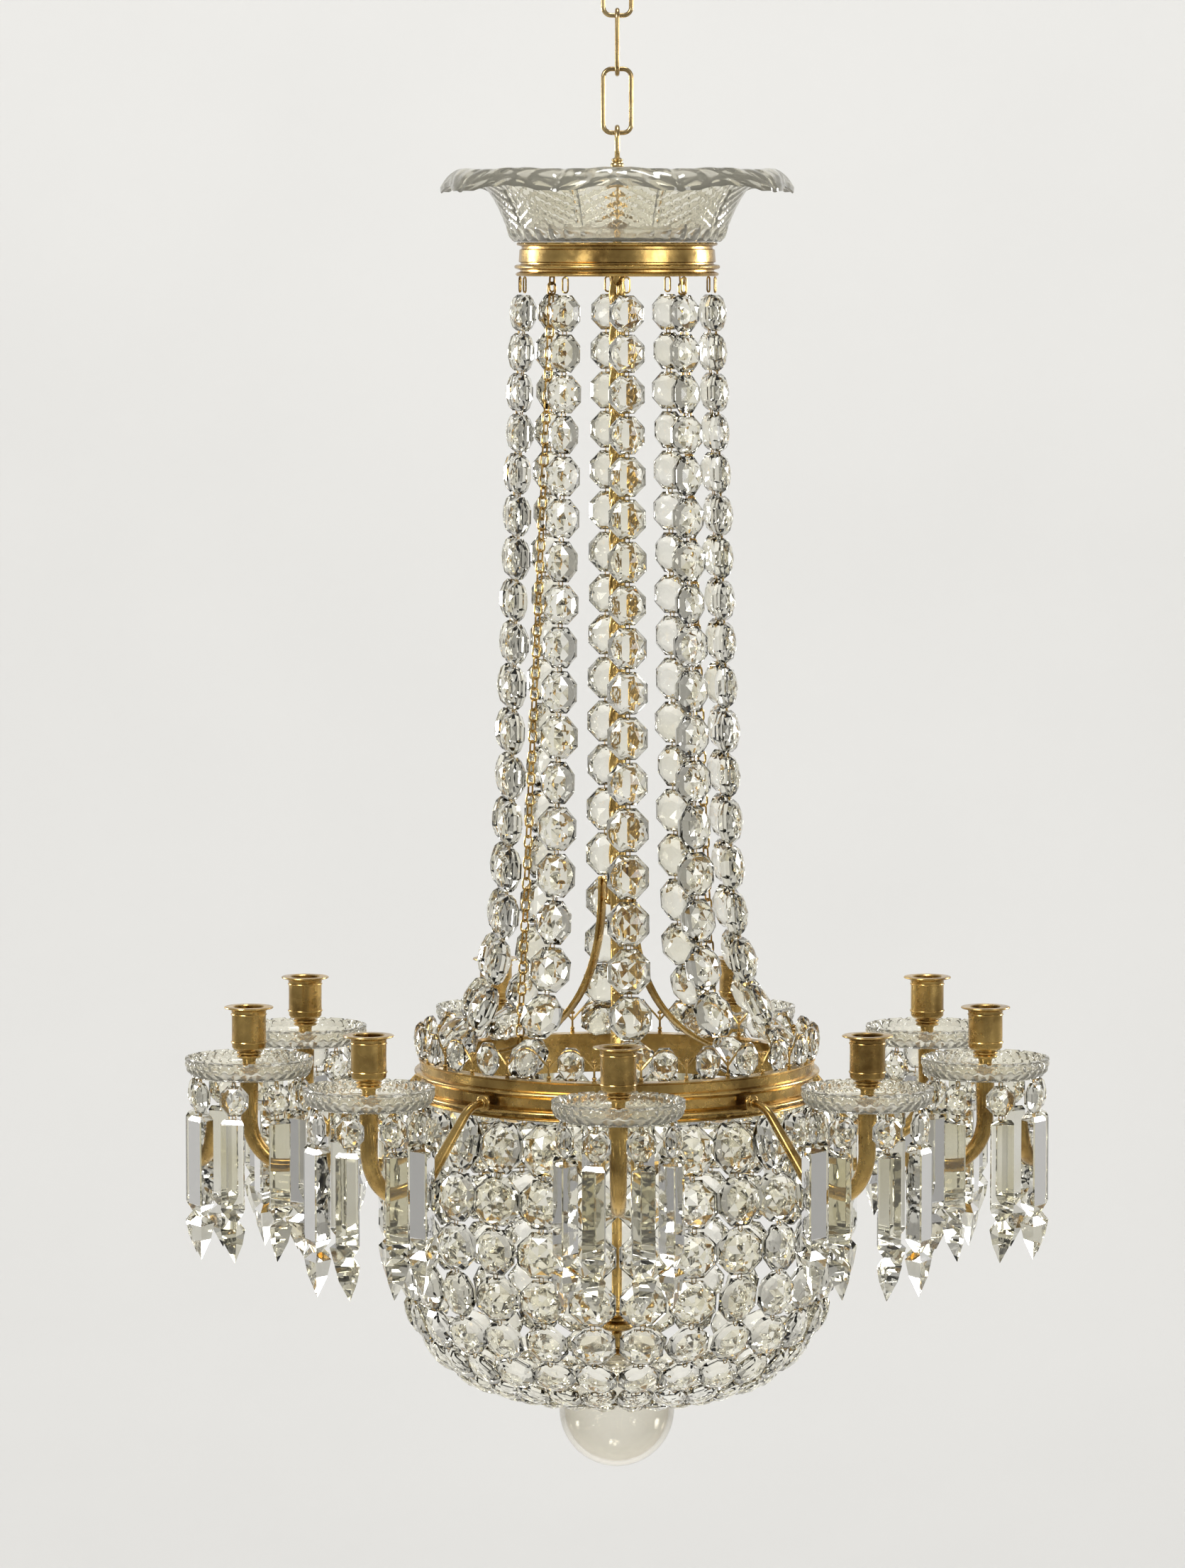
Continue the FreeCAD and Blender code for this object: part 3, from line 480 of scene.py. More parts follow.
def cut_bead(glass, sides=8):
    """Unit bead: an octagon with bezel and star facets, a small table in front, a low point behind."""
    bm = bmesh.new()
    lay = Matrix.Rotation(math.pi / 2, 4, "X") @ Matrix.Rotation(math.pi / sides, 4, "Z")
    bmesh.ops.create_circle(bm, cap_ends=True, segments=sides, radius=0.5 / math.cos(math.pi / sides),
                            matrix=Matrix.Translation((0, -glass.bead_girdle / 2, 0)) @ lay)
    back = bmesh.ops.extrude_face_region(bm, geom=bm.faces[:], use_keep_orig=True)
    bmesh.ops.translate(bm, vec=(0, glass.bead_girdle, 0), verts=verts_of(back))
    outward(bm)
    rise = 0.5 - glass.bead_girdle / 2

    def tables():
        return [face for face in bm.faces if len(face.verts) == sides]

    for part, facets in FACET_RINGS:
        bmesh.ops.inset_region(bm, faces=tables(), thickness=getattr(glass, facets), depth=part * rise)
    bmesh.ops.rotate(bm, cent=(0, 0, 0), matrix=Matrix.Rotation(math.pi / sides, 3, "Y"),
                     verts=[vert for face in tables() for vert in face.verts])
    bmesh.ops.triangulate(bm, faces=[face for face in bm.faces if len(face.verts) == 4])
    behind = max(tables(), key=lambda face: face.calc_center_median().y)
    bmesh.ops.poke(bm, faces=[behind], offset=LOW_POINT * rise)
    return pattern(outward(bm))


def hung(seat, k, most):
    """The seat turned a little about its height, each bead by its own amount, as wired beads hang."""
    turn = Matrix.Rotation(most * math.sin(2.4 * k + 71.0 * seat.translation.x), 4,
                           seat.to_3x3().col[2].normalized())
    place = Matrix.Translation(seat.translation)
    return place @ turn @ place.inverted() @ seat


def shrunk(seat, across, high):
    return seat @ Matrix.Diagonal((across, 1.0, high, 1.0))


def pin_between(upper, lower):
    """Matrix for a pin from the foot of one bead to the head of the next."""
    foot = upper.translation - upper.to_3x3().col[2] / 2
    head = lower.translation + lower.to_3x3().col[2] / 2
    along = (upper.translation - lower.translation).normalized()
    side = upper.to_3x3().col[0].normalized()
    return axes(side, along.cross(side).normalized(), along, (foot + head) / 2)


def dress_strands(context, start, in_node):
    """Cut beads in the seats of the strand nodes, and a wire pin between each two neighbours."""
    glass, metal = context.scene.chandelier_glass, context.scene.chandelier_metal
    bead = cut_bead(glass)
    loop = pattern(wire_loop(metal.pin_length, metal.pin_width, metal.pin_wire, steps=2, sides=5))
    pins = bmesh.new()
    for node in nodes_like(start + "_strand"):
        bm = bmesh.new()
        for strand in strands_in(node, in_node):
            for k, seat in enumerate(strand):
                add_copy(bm, bead, shrunk(hung(seat, k, glass.bead_swing), 1.0, glass.bead_fill))
            for upper, lower in zip(strand, strand[1:]):
                add_copy(pins, loop, pin_between(upper, lower))
        piece(f"{start}_beads_{node.split('_')[-1]}", bm, [node], "bead_crystal", sharp=SHARP_FACETS)
    piece(f"{start}_pins", pins, [])


class CHANDELIER_OT_tent(bpy.types.Operator):
    """Ten strands of cut octagon beads from the corona down to the main ring"""
    bl_idname = "chandelier.tent"
    bl_label = "Tent strands"

    def execute(self, context):
        dress_strands(context, "tent", 1)
        return {"FINISHED"}


class CHANDELIER_OT_bag(bpy.types.Operator):
    """Twenty-seven strands of cut beads from the main ring in to the foot ring"""
    bl_idname = "chandelier.bag"
    bl_label = "Bag strands"

    def execute(self, context):
        dress_strands(context, "bag", 3)
        low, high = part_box("foot_ring")
        bar = high.x - 3.5 * MM
        outline = swell(bar, high.z, low.z, 3.5 * MM) + swell(bar, low.z, high.z, -0.5 * MM, 2)
        piece("foot_ring_brass", turned(outline, 96), ["foot_ring"])
        return {"FINISHED"}


# ---- drops ----
BUTTON_FILL = 0.86      # height of a button over its CAD bead
SPEAR_PLAY = 0.4 * MM   # between a button's foot and the spear's head
SPEAR_STEP = 4.0 * MM   # height of the chamfers at the prism's two ends
SPEAR_HEAD, SPEAR_FOOT = 0.72, 0.8      # widths of those ends over the prism
ARROW_BARB, ARROW_TIP = 0.72, 0.02      # widths of the arrow's barb and tip over the prism
ARROW_BARB_AT = 0.45    # how far down the arrow its barb is
SPEAR_EDGE = 0.06       # bevel of the long edges over the width
LONG_EDGE = 20.0 * MM   # edges that go down further than this are bevelled


def spear(glass, long):
    """Triangular prism with a step at its head, a waist and an arrow point; flat side to -Y."""
    width, waist, point = glass.prism_width, glass.waist_length, glass.point_length
    prism = long - 2 * waist - point
    bm = bmesh.new()
    size = SPEAR_HEAD
    bmesh.ops.create_circle(bm, cap_ends=True, segments=3, radius=width / math.sqrt(3) * size,
                            matrix=Matrix.Rotation(math.pi, 4, "Z"))
    face = bm.faces[:][0]
    stops = [(SPEAR_STEP, 1.0), (prism - 2 * SPEAR_STEP, 1.0), (SPEAR_STEP, SPEAR_FOOT),
             (waist, glass.prism_waist / width), (waist, 1.0), (point * ARROW_BARB_AT, ARROW_BARB),
             (point * (1 - ARROW_BARB_AT), ARROW_TIP)]
    for drop, wide in stops:
        made = bmesh.ops.extrude_face_region(bm, geom=[face])
        face = next(item for item in made["geom"] if isinstance(item, bmesh.types.BMFace))
        bmesh.ops.translate(bm, vec=(0, 0, -drop), verts=verts_of(made))
        bmesh.ops.scale(bm, vec=(wide / size, wide / size, 1.0), verts=verts_of(made))
        size = wide
    tidy(bm)
    bevel(bm, [edge for edge in bm.edges if abs(edge.verts[0].co.z - edge.verts[1].co.z) > LONG_EDGE],
          width * SPEAR_EDGE, 1)
    return pattern(outward(bm))


class CHANDELIER_OT_drops(bpy.types.Operator):
    """Eight drops under each drip pan: a button bead wired over a spear prism"""
    bl_idname = "chandelier.drops"
    bl_label = "Pan drops"

    def execute(self, context):
        glass, metal = context.scene.chandelier_glass, context.scene.chandelier_metal
        bead = cut_bead(glass)
        low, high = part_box("drops_1")
        button = high.z - seats_in("drops_1")[0].translation.z
        dart = spear(glass, high.z - low.z - 2 * button - SPEAR_PLAY)
        loop = pattern(wire_loop(metal.drop_loop, metal.drop_loop_width, metal.pin_wire, steps=2, sides=5))
        wires = bmesh.new()
        for node in nodes_like("drops_"):
            axis = middle_of(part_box(node.replace("drops", "drip_pan")))
            bm = bmesh.new()
            for corners in corners_of(node):
                if len(corners) == BEAD_CORNERS:
                    seat = bead_seat(corners)
                    add_copy(bm, bead, shrunk(seat, 1.0, BUTTON_FILL))
                    self.wire(wires, loop, seat, metal.drop_loop)
                else:
                    add_copy(bm, dart, self.spear_seat(corners, axis))
            piece(node.replace("drops", "pan_drops"), bm, [node], "drop_crystal", sharp=SHARP_FACETS)
        piece("drop_wires", wires, [])
        return {"FINISHED"}

    def wire(self, wires, loop, seat, long):
        """A loop into the pan over a button, and one between it and its spear."""
        half = seat.to_3x3().col[2] / 2
        sides = [seat.to_3x3().col[k].normalized() for k in range(3)]
        for spot in (seat.translation + half - Vector((0, 0, 0.36 * long)), seat.translation - half):
            add_copy(wires, loop, axes(*sides, spot))

    def spear_seat(self, corners, axis):
        """Where a spear hangs: its edge points away from the pan's axis."""
        top = sorted((place for place, _ in corners), key=lambda place: -place.z)[:3]
        centre, up = middle_of(top), Vector((0, 0, 1))
        edge = max(top, key=lambda place: (place - axis).xy.length)
        out = (edge - centre).normalized()
        return axes(out.cross(up), out, up, centre)


# ---- chain and stem ----
ROD_KNOP_Z = -1.062     # height of the knop on the rod in the bag
ROD_RADIUS = 4.0 * MM


class CHANDELIER_OT_chain(bpy.types.Operator):
    """Three long links, the eye on the stem and its collar"""
    bl_idname = "chandelier.chain"
    bl_label = "Chain"

    def execute(self, context):
        metal = context.scene.chandelier_metal
        quarter = Matrix.Rotation(math.pi / 2, 4, "Z")
        for node, body, lay in (("top_link", "hanger", Matrix()), ("middle_link", "second_link", quarter),
                                ("lower_link", "third_link", Matrix())):
            bm = wire_loop(metal.link_length, metal.link_width, metal.link_wire, 8, 16, metal.link_corner)
            place = Matrix.Translation(middle_of(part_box(node))) @ lay
            bmesh.ops.transform(bm, matrix=place, verts=bm.verts)
            piece(f"{node}_brass", bm, [node], "chain_brass", body)
        low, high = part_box("stem_eye")
        eye = wire_loop(metal.eye_length, metal.eye_width, metal.eye_wire, 8, 16)
        foot = high.z - metal.eye_length + metal.eye_wire / 2
        collar = turned(profile(0, foot, [(0, 1), (2.5, 1), (3.5, 0, -2, 1)])
                        + profile(0, low.z, [(4.2, 4.5), (4.2, 4, 0, 0.9), (0, 0)]), 48)
        bm = bmesh.new()
        bm.from_mesh(pattern(collar))
        add_copy(bm, pattern(eye), Matrix.Translation((0, 0, high.z - metal.eye_length / 2)) @ quarter)
        piece("stem_eye_brass", bm, ["stem_eye"], "chain_brass")
        return {"FINISHED"}


class CHANDELIER_OT_stem(bpy.types.Operator):
    """Upper stem, crown nut, twisted centre stem, strap hub and the rod inside the bag"""
    bl_idname = "chandelier.stem"
    bl_label = "Stem"

    def execute(self, context):
        low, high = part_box("upper_stem")
        r, top, foot = high.x, high.z, low.z
        self.turn("upper_stem", [
            (0, top), (r * 0.9, top), *swell(r * 0.85, top - 0.001, top - 0.004, r * 0.15),
            (r * 0.72, top - 0.006), (r * 0.72, foot + 0.02),
            *swell(r * 0.75, foot + 0.018, foot + 0.014, r * 0.25), (r * 0.8, foot + 0.012),
            (r * 0.8, foot), (0, foot)], 32)
        low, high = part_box("crown_nut")
        r, foot, rise = high.x, low.z, high.z - low.z
        self.turn("crown_nut", [
            (0.0045, foot), (r, foot), *swell(r - 0.001, foot + 0.0025, foot, -0.001)[::-1],
            (r * 0.86, foot + rise * 0.3), (r * 0.80, foot + rise * 0.5), (r * 0.62, foot + rise * 0.7),
            (r * 0.5, foot + rise * 0.86),
            (0.0048, foot + rise), (0.0045, foot)], 48)
        self.twist(context.scene.chandelier_metal)
        low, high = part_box("strap_hub")
        r, top, foot = high.x, high.z, low.z
        self.turn("strap_hub", [
            (0, top), (r * 0.7, top), *swell(r * 0.85, top - 0.001, top - 0.005, r * 0.15),
            (r * 0.82, top - 0.007), (r * 0.82, foot + 0.007),
            *swell(r * 0.85, foot + 0.005, foot + 0.001, r * 0.15), (r * 0.6, foot), (0, foot)], 48)
        low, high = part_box("ball_rod")
        self.turn("ball_rod", [(0, high.z), (ROD_RADIUS, high.z)]
                  + profile(ROD_RADIUS, ROD_KNOP_Z, [(0, 14), (1, 12, 4, 6), (2, 2, -6, 8), (0, -8)])
                  + profile(ROD_RADIUS, low.z, [(0, 4.5)])
                  + profile(high.x, low.z, [(-1.5, 4, 0, 1.5)]) + [(0, low.z)], 32)
        return {"FINISHED"}

    def turn(self, node, outline, steps):
        piece(f"{node}_brass", turned(outline, steps), [node])

    def twist(self, metal, sides=24, lobes=4):
        """Rope-twisted bar: a lobed section spun up the axis."""
        low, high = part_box("centre_stem")
        steps = metal.stem_turns * sides
        bm = bmesh.new()
        ring = bmesh.ops.create_circle(bm, segments=sides, radius=high.x,
                                       matrix=Matrix.Translation((0, 0, low.z)))["verts"]
        for vert in ring:
            turn = math.atan2(vert.co.y, vert.co.x)
            vert.co.xy *= 1.0 - metal.stem_lobe * (0.5 - 0.5 * math.cos(lobes * turn)) ** 1.5
        bmesh.ops.spin(bm, geom=ring + bm.edges[:], cent=(0, 0, 0), axis=(0, 0, 1), steps=steps,
                       angle=2 * math.pi * metal.stem_turns, dvec=(0, 0, (high.z - low.z) / steps))
        ends = [edge for edge in bm.edges if edge.is_boundary]
        bmesh.ops.holes_fill(bm, edges=ends, sides=sides)
        piece("centre_stem_brass", tidy(bm), ["centre_stem"], sharp=SHARP_TWIST)


# ---- corona, crown and straps ----
class CHANDELIER_OT_corona(bpy.types.Operator):
    """Moulded corona ring, its flat arms, the tent hooks and the support chains"""
    bl_idname = "chandelier.corona"
    bl_label = "Corona"

    def execute(self, context):
        metal = context.scene.chandelier_metal
        low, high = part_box("corona_ring")
        outline = profile(high.y, high.z, [
            (-11, 0), (-3.8, 0), (-3.6, 0, -2.6, 1.6), (-5.8, -3.3), (-5.8, -5), (-4.2, -5.8), (-3.6, -15),
            (-5.2, -15.7), (-5.2, -16.8), (-2.2, -17.2, -20.6, 2), (-4.8, -21.2)])
        outline += profile(high.y, low.z, [(-4.8, 3.6), (-3, 3, 0, 1.8), (-11, 0)])
        piece("corona_brass", turned(outline, 180, closed=True), ["corona_ring"])
        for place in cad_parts["corona_spider"].material_slots:
            place.material = FINISHES["gilt_brass"]
        low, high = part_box("tent_hooks")
        hook = pattern(wire_loop(high.z - low.z, metal.hook_width, metal.hook_wire, 4, 8))
        bm = bmesh.new()
        for corners in corners_of("tent_hooks"):
            middle = middle_of([place for place, _ in corners])
            bearing = Matrix.Rotation(math.atan2(middle.x, -middle.y), 4, "Z")
            add_copy(bm, hook, Matrix.Translation(middle) @ bearing)
        piece("tent_hooks_brass", bm, ["tent_hooks"])
        self.support(metal)
        return {"FINISHED"}

    def support(self, metal):
        """Fine links end to end along each support chain, every second one turned."""
        half_way = middle_of(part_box("support_chains")).z
        front = min(corners_of("support_chains"), key=lambda corners: min(place.y for place, _ in corners))
        head, foot = (middle_of([place for place, _ in front if (place.z > half_way) == upper])
                      for upper in (True, False))
        along, long = (head - foot).normalized(), (head - foot).length
        count = int(long / (metal.support_link - 2 * metal.support_wire))
        loop = pattern(wire_loop(metal.support_link, metal.support_width, metal.support_wire, 3, 6))
        lay = along.to_track_quat("Z", "Y").to_matrix().to_4x4()
        bm = bmesh.new()
        for k in range(count):
            spot = head - along * (metal.support_link / 2 + k * long / count)
            turn = Matrix.Rotation(math.pi / 2 * (k % 2), 4, "Z")
            add_copy(bm, loop, Matrix.Translation(spot) @ lay @ turn)
        piece("support_chain_links", ring_of(pattern(bm), STRAPS), ["support_chains"])


def smooth_line(points, per=5):
    """Points of a smooth curve through an outline's corners."""
    line = []
    for k in range(len(points) - 1):
        a, b, c, d = (Vector(points[min(max(k + n, 0), len(points) - 1)]) for n in (-1, 0, 1, 2))
        for n in range(per):
            t = n / per
            line.append(0.5 * (2 * b + (c - a) * t + (2 * a - 5 * b + 4 * c - d) * t ** 2
                               + (3 * b - a - 3 * c + d) * t ** 3))
    return [tuple(place) for place in line] + [tuple(points[-1])]


# The crown's glass, in millimetres out from its axis and up from its foot.
CROWN_REACH, CROWN_HOLE = 138.0, 5.6
CROWN_OUTSIDE = ((80, 0), (83.5, 4), (86, 12), (89.5, 21), (94.5, 31), (101, 40.5), (110, 47.5),
                 (121, 49.5), (131, 45.5), (CROWN_REACH, 39.5))
CROWN_INSIDE = ((CROWN_REACH, 42.5), (132.5, 50.2), (122, 55.5), (109, 53.5), (97.5, 44.5), (90.5, 34),
                (85.5, 22), (81.5, 11))
CROWN_FLOOR = 76.0      # radius of the flat foot inside
CROWN_PLAIN = 74.0      # radius inside which nothing is cut
CROWN_LIP = 100.0       # radius from which the lip is drawn into lobes
LEAVES_FROM = 10.0      # height where the facets give way to leaves
VEIN_WIDTH = 0.03       # middle vein over its leaf, not in millimetres
STEPS_TO_A_CUT = 12     # corners round each flute


class CHANDELIER_OT_crown(bpy.types.Operator):
    """Cut-glass crown dish with fluted walls and a lobed lip that curls over"""
    bl_idname = "chandelier.crown"
    bl_label = "Glass crown"

    def execute(self, context):
        glass = context.scene.chandelier_glass
        foot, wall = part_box("crown_glass")[0].z, glass.crown_wall
        outer = smooth_line(profile(0, 0, CROWN_OUTSIDE), 6)
        inner = smooth_line(profile(0, 0, CROWN_INSIDE) + [(CROWN_FLOOR * MM, wall)], 4)
        outline = [(CROWN_HOLE * MM, 0.0)] + outer + inner + [(CROWN_HOLE * MM, wall)]
        bm = turned(outline, glass.crown_cuts * STEPS_TO_A_CUT, closed=True)
        for vert in bm.verts:
            if vert.co.xy.length >= CROWN_PLAIN * MM:
                self.cut(vert, glass)
        bmesh.ops.translate(bm, vec=(0, 0, foot), verts=bm.verts)
        outward(bm)
        piece("crown_dish", bm, ["crown_glass"], "cut_glass", sharp=SHARP_CUTS)
        return {"FINISHED"}

    def cut(self, vert, glass):
        """Upright facets low on the wall, veined leaves above them, and a lip drawn into lobes."""
        r, z = vert.co.xy.length, vert.co.z
        turn = math.atan2(vert.co.x, -vert.co.y)
        lip = min(1.0, max(0.0, (r / MM - CROWN_LIP) / (CROWN_REACH - CROWN_LIP)))
        bay = (turn * glass.crown_lobes / (2 * math.pi)) % 1.0 - 0.5
        lobe = 0.5 + 0.5 * math.cos(2 * math.pi * (bay + 0.5))
        vein = abs(math.sin(math.pi * (4.0 * abs(bay) - 120.0 * z - 40.0 * (r - 0.09))))
        facet = abs(math.sin(glass.crown_cuts / 2 * turn))
        leaf = min(1.0, max(0.0, (z / MM - LEAVES_FROM) / 4.0))
        cut = glass.crown_cut * ((1.0 - leaf) * (1.0 - facet) + leaf * 0.75 * (1.0 - vein)
                                 + 0.6 * leaf * (abs(bay) < VEIN_WIDTH))
        wide = r - cut * (1.0 - 0.7 * lip) - glass.crown_lobe * lobe * lip ** 2
        vert.co.xy *= wide / r
        vert.co.z += lip * (0.0045 * lobe * lip - 0.0012 - 0.8 * cut)


class CHANDELIER_OT_straps(bpy.types.Operator):
    """Three curved brass straps from the hub out to the main ring"""
    bl_idname = "chandelier.straps"
    bl_label = "Stem straps"

    def execute(self, context):
        metal, steps = context.scene.chandelier_metal, 28
        low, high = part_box("stem_straps")
        hub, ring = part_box("strap_hub")[1].x + 1.5 * MM, -low.y
        fall = high.z - low.z - metal.strap_thick / 2
        bm = bmesh.new()
        edge = bm.edges.new([bm.verts.new((side * metal.strap_width / 2, -hub, high.z)) for side in (-1, 1)])
        before = Vector((0, -hub, high.z))
        for k in range(1, steps + 1):
            turn = math.pi / 2 * k / steps
            now = Vector((0, -(hub + (ring - hub) * (1 - math.cos(turn)) ** 1.25),
                          high.z - fall * math.sin(turn)))
            made = bmesh.ops.extrude_edge_only(bm, edges=[edge])["geom"]
            edge = next(item for item in made if isinstance(item, bmesh.types.BMEdge))
            bmesh.ops.translate(bm, vec=now - before, verts=edge.verts[:])
            before = now
        outward(bm)
        bmesh.ops.solidify(bm, geom=bm.faces[:], thickness=metal.strap_thick)
        outward(bm)
        bevel(bm, [edge for edge in bm.edges if edge.calc_face_angle(0.0) > 1.0], 0.9 * MM, 2)
        piece("stem_straps_brass", ring_of(pattern(bm), STRAPS), ["stem_straps"])
        return {"FINISHED"}


# ---- main ring, gallery and arms ----
class CHANDELIER_OT_ring(bpy.types.Operator):
    """Moulded main ring with its gallery of brass posts, arches and upright crystals"""
    bl_idname = "chandelier.ring"
    bl_label = "Main ring and gallery"

    def execute(self, context):
        outline = profile(RING_RADIUS, RING_HIGH.z, [
            (-16, 0), (-4.2, 0), (-3.6, -0.8), (-4.4, -1.6), (-4.4, -7.8), (-2.4, -8.4, -11.8, 2.2),
            (-4.6, -12.4), (-5.8, -14), (-5.8, -20.8), (-4.6, -22.2), (-2.4, -22.8, -26.2, 2.2), (-4, -26.8)])
        outline += profile(RING_RADIUS, RING_LOW.z, [(-5, 2.2), (-5.2, 1.8, 0, 1.2, 4), (-16, 0)])
        piece("main_ring_brass", turned(outline, 240, closed=True), ["main_ring"])
        bead = cut_bead(context.scene.chandelier_glass)
        bm = bmesh.new()
        for seat in seats_in("gallery_crystals"):
            add_copy(bm, bead, shrunk(seat, 0.92, 0.93))
        piece("gallery_drops", bm, ["gallery_crystals"], "bead_crystal", sharp=SHARP_FACETS)
        self.posts()
        return {"FINISHED"}

    def posts(self, arch_rise=13.5 * MM, arch_wire=0.85 * MM):
        """A turned post between each two crystals and a wire arch over each crystal."""
        low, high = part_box("gallery_posts")
        out, rise = -low.y - 1.5 * MM, high.z - low.z
        post = turned(profile(0, rise, [(0, 0), (0.6, 0), (0.4, -0.5, -3.5, 1.7), (0.8, -5)])
                      + profile(0, 0, [(0.9, 5), (0.9, 4.5, 2, 0.9), (1.7, 1.5), (1.7, 0), (0, 0)]), 12)
        half = math.pi / GALLERY_POSTS
        bm = ring_of(pattern(post), GALLERY_POSTS, math.degrees(half), out, low.z)
        spring = low.z + rise * 0.55
        line = [Vector((out * math.sin(half * t), -out * math.cos(half * t),
                        spring + arch_rise * math.cos(t * math.pi / 2)))
                for t in (k / 8 for k in range(-8, 9))]
        arch = tube(line, [arch_wire] * len(line), 6)
        add_copy(bm, pattern(ring_of(arch, GALLERY_POSTS)), Matrix())
        piece("gallery_brass", bm, ["gallery_posts"])


class CHANDELIER_OT_arms(bpy.types.Operator):
    """Nine S-scroll arms that thicken like a horn, with their bosses on the ring"""
    bl_idname = "chandelier.arms"
    bl_label = "Candle arms"

    def execute(self, context):
        metal = context.scene.chandelier_metal
        line = self.line(metal)
        travelled = [0.0]
        for a, b in zip(line, line[1:]):
            travelled.append(travelled[-1] + (b - a).length)
        swelling = metal.arm_seat - metal.arm_root
        bar = tube(line, [(metal.arm_root + swelling * done / travelled[-1]) / 2 for done in travelled], 20)
        boss = turned(profile(0, 0, [(0, 4.5), (2.8, 4.5), (3.5, 4.2, 2.6, 0.8), (4.2, 2.4),
                                     (5.5, 2, 0.4, 1), (6.5, 0), (0, 0)]), 32)
        collar = turned([(0, 0), *profile(metal.arm_seat / 2, 0, [
            (0, 0), (-0.5, -0.3, -3, 1.2), (-0.6, -3.6), (-1.2, -4, -6, 1), (-3, -7)]), (0, -7 * MM)], 40)
        bm = bmesh.new()
        bm.from_mesh(bar)
        add_copy(bm, pattern(boss), Matrix.Translation(line[0]) @ Matrix.Rotation(math.pi / 2, 4, "X"))
        add_copy(bm, pattern(collar), Matrix.Translation(line[-1]))
        piece("arms_brass", ring_of(pattern(bm), ARMS), ["arms"])
        return {"FINISHED"}

    def line(self, metal, step=math.radians(6.0), root=4.0 * MM):
        """Centre line of the front arm, from the ring to its seat."""
        slope, shoulder, hook = metal.arm_slope, metal.arm_shoulder, metal.arm_hook
        r, z = RING_RADIUS + root, RING_HIGH.z - metal.arm_drop
        points = [(RING_RADIUS, z)]
        count = math.ceil(slope / step)
        for turn in (slope * k / count for k in range(count + 1)):
            points.append((r + shoulder * math.sin(turn), z - shoulder * (1 - math.cos(turn))))
        candle = RING_RADIUS + metal.arm_reach
        centre = candle - hook
        bend_r, bend_z = points[-1]
        low_z = bend_z - (centre - hook * math.sin(slope) - bend_r) * math.tan(slope)
        centre_z = low_z + hook * math.cos(slope)
        count = math.ceil((math.pi / 2 + slope) / step)
        for turn in ((math.pi / 2 + slope) * k / count - slope for k in range(count + 1)):
            points.append((centre + hook * math.sin(turn), centre_z - hook * math.cos(turn)))
        points.append((candle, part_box("arms")[1].z))
        return [Vector((0, -r, z)) for r, z in points]


class CHANDELIER_OT_cups(bpy.types.Operator):
    """Nine turned candle cups with a wide flange, ribs and a stalk through the pan"""
    bl_idname = "chandelier.cups"
    bl_label = "Candle cups"

    def execute(self, context):
        low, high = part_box("candle_cups")
        # The bore is 23 mm across and 28 mm deep, the body 28 mm and the flange 38 mm.
        cup = turned(profile(0, high.z, [
            (0, -28), (10.5, -28), (11.5, -27), (11.5, -0.8), (12.3, 0), (18.4, 0), (18.4, 0, -1.3, 0.6, 4),
            (15.4, -1.9), (13.6, -3), (13.2, -4.8), (13.2, -5.2, -6.6, 0.7, 4), (13.2, -7), (13.2, -26.2),
            (13.2, -26.6, -28.2, 0.8, 4), (13.2, -28.6), (13, -31.5), (11.2, -33.4), (8, -34.1),
            (8, -34.5, -36.8, 1.8, 4), (7.6, -37.3, -39.6, 1.8, 4), (5.6, -40.2), (5.1, -42)])
            + profile(0, low.z, [(5.1, 9.2), (5.6, 8.8, 6.4, 1.9, 4), (7.5, 6), (7.5, 4.4), (4.75, 4.3),
                                 (4.75, 0), (0, 0)]), 48)
        candle = RING_RADIUS + context.scene.chandelier_metal.arm_reach
        piece("candle_cups_brass", ring_of(pattern(cup), ARMS, 0.0, candle), ["candle_cups"])
        return {"FINISHED"}


PAN_HOLE = 5.1 * MM         # radius of the hole for the cup's stalk
PAN_FLOOR = 0.27            # top of the floor inside, over the pan's height
PAN_PLAIN = 40.5 * MM       # radius inside which nothing is cut
NAILS_FROM = 45.5 * MM      # radius from which the wall has hobnails,
NAILS_TO = 0.85             # up to this share of its height
RIM_FROM = 0.9              # share of the height where the blocks begin
BLOCK_GAP = 0.1             # half of the notch between two blocks, over a block
BLOCK_IN, BLOCK_DOWN = 0.9 * MM, 1.1 * MM


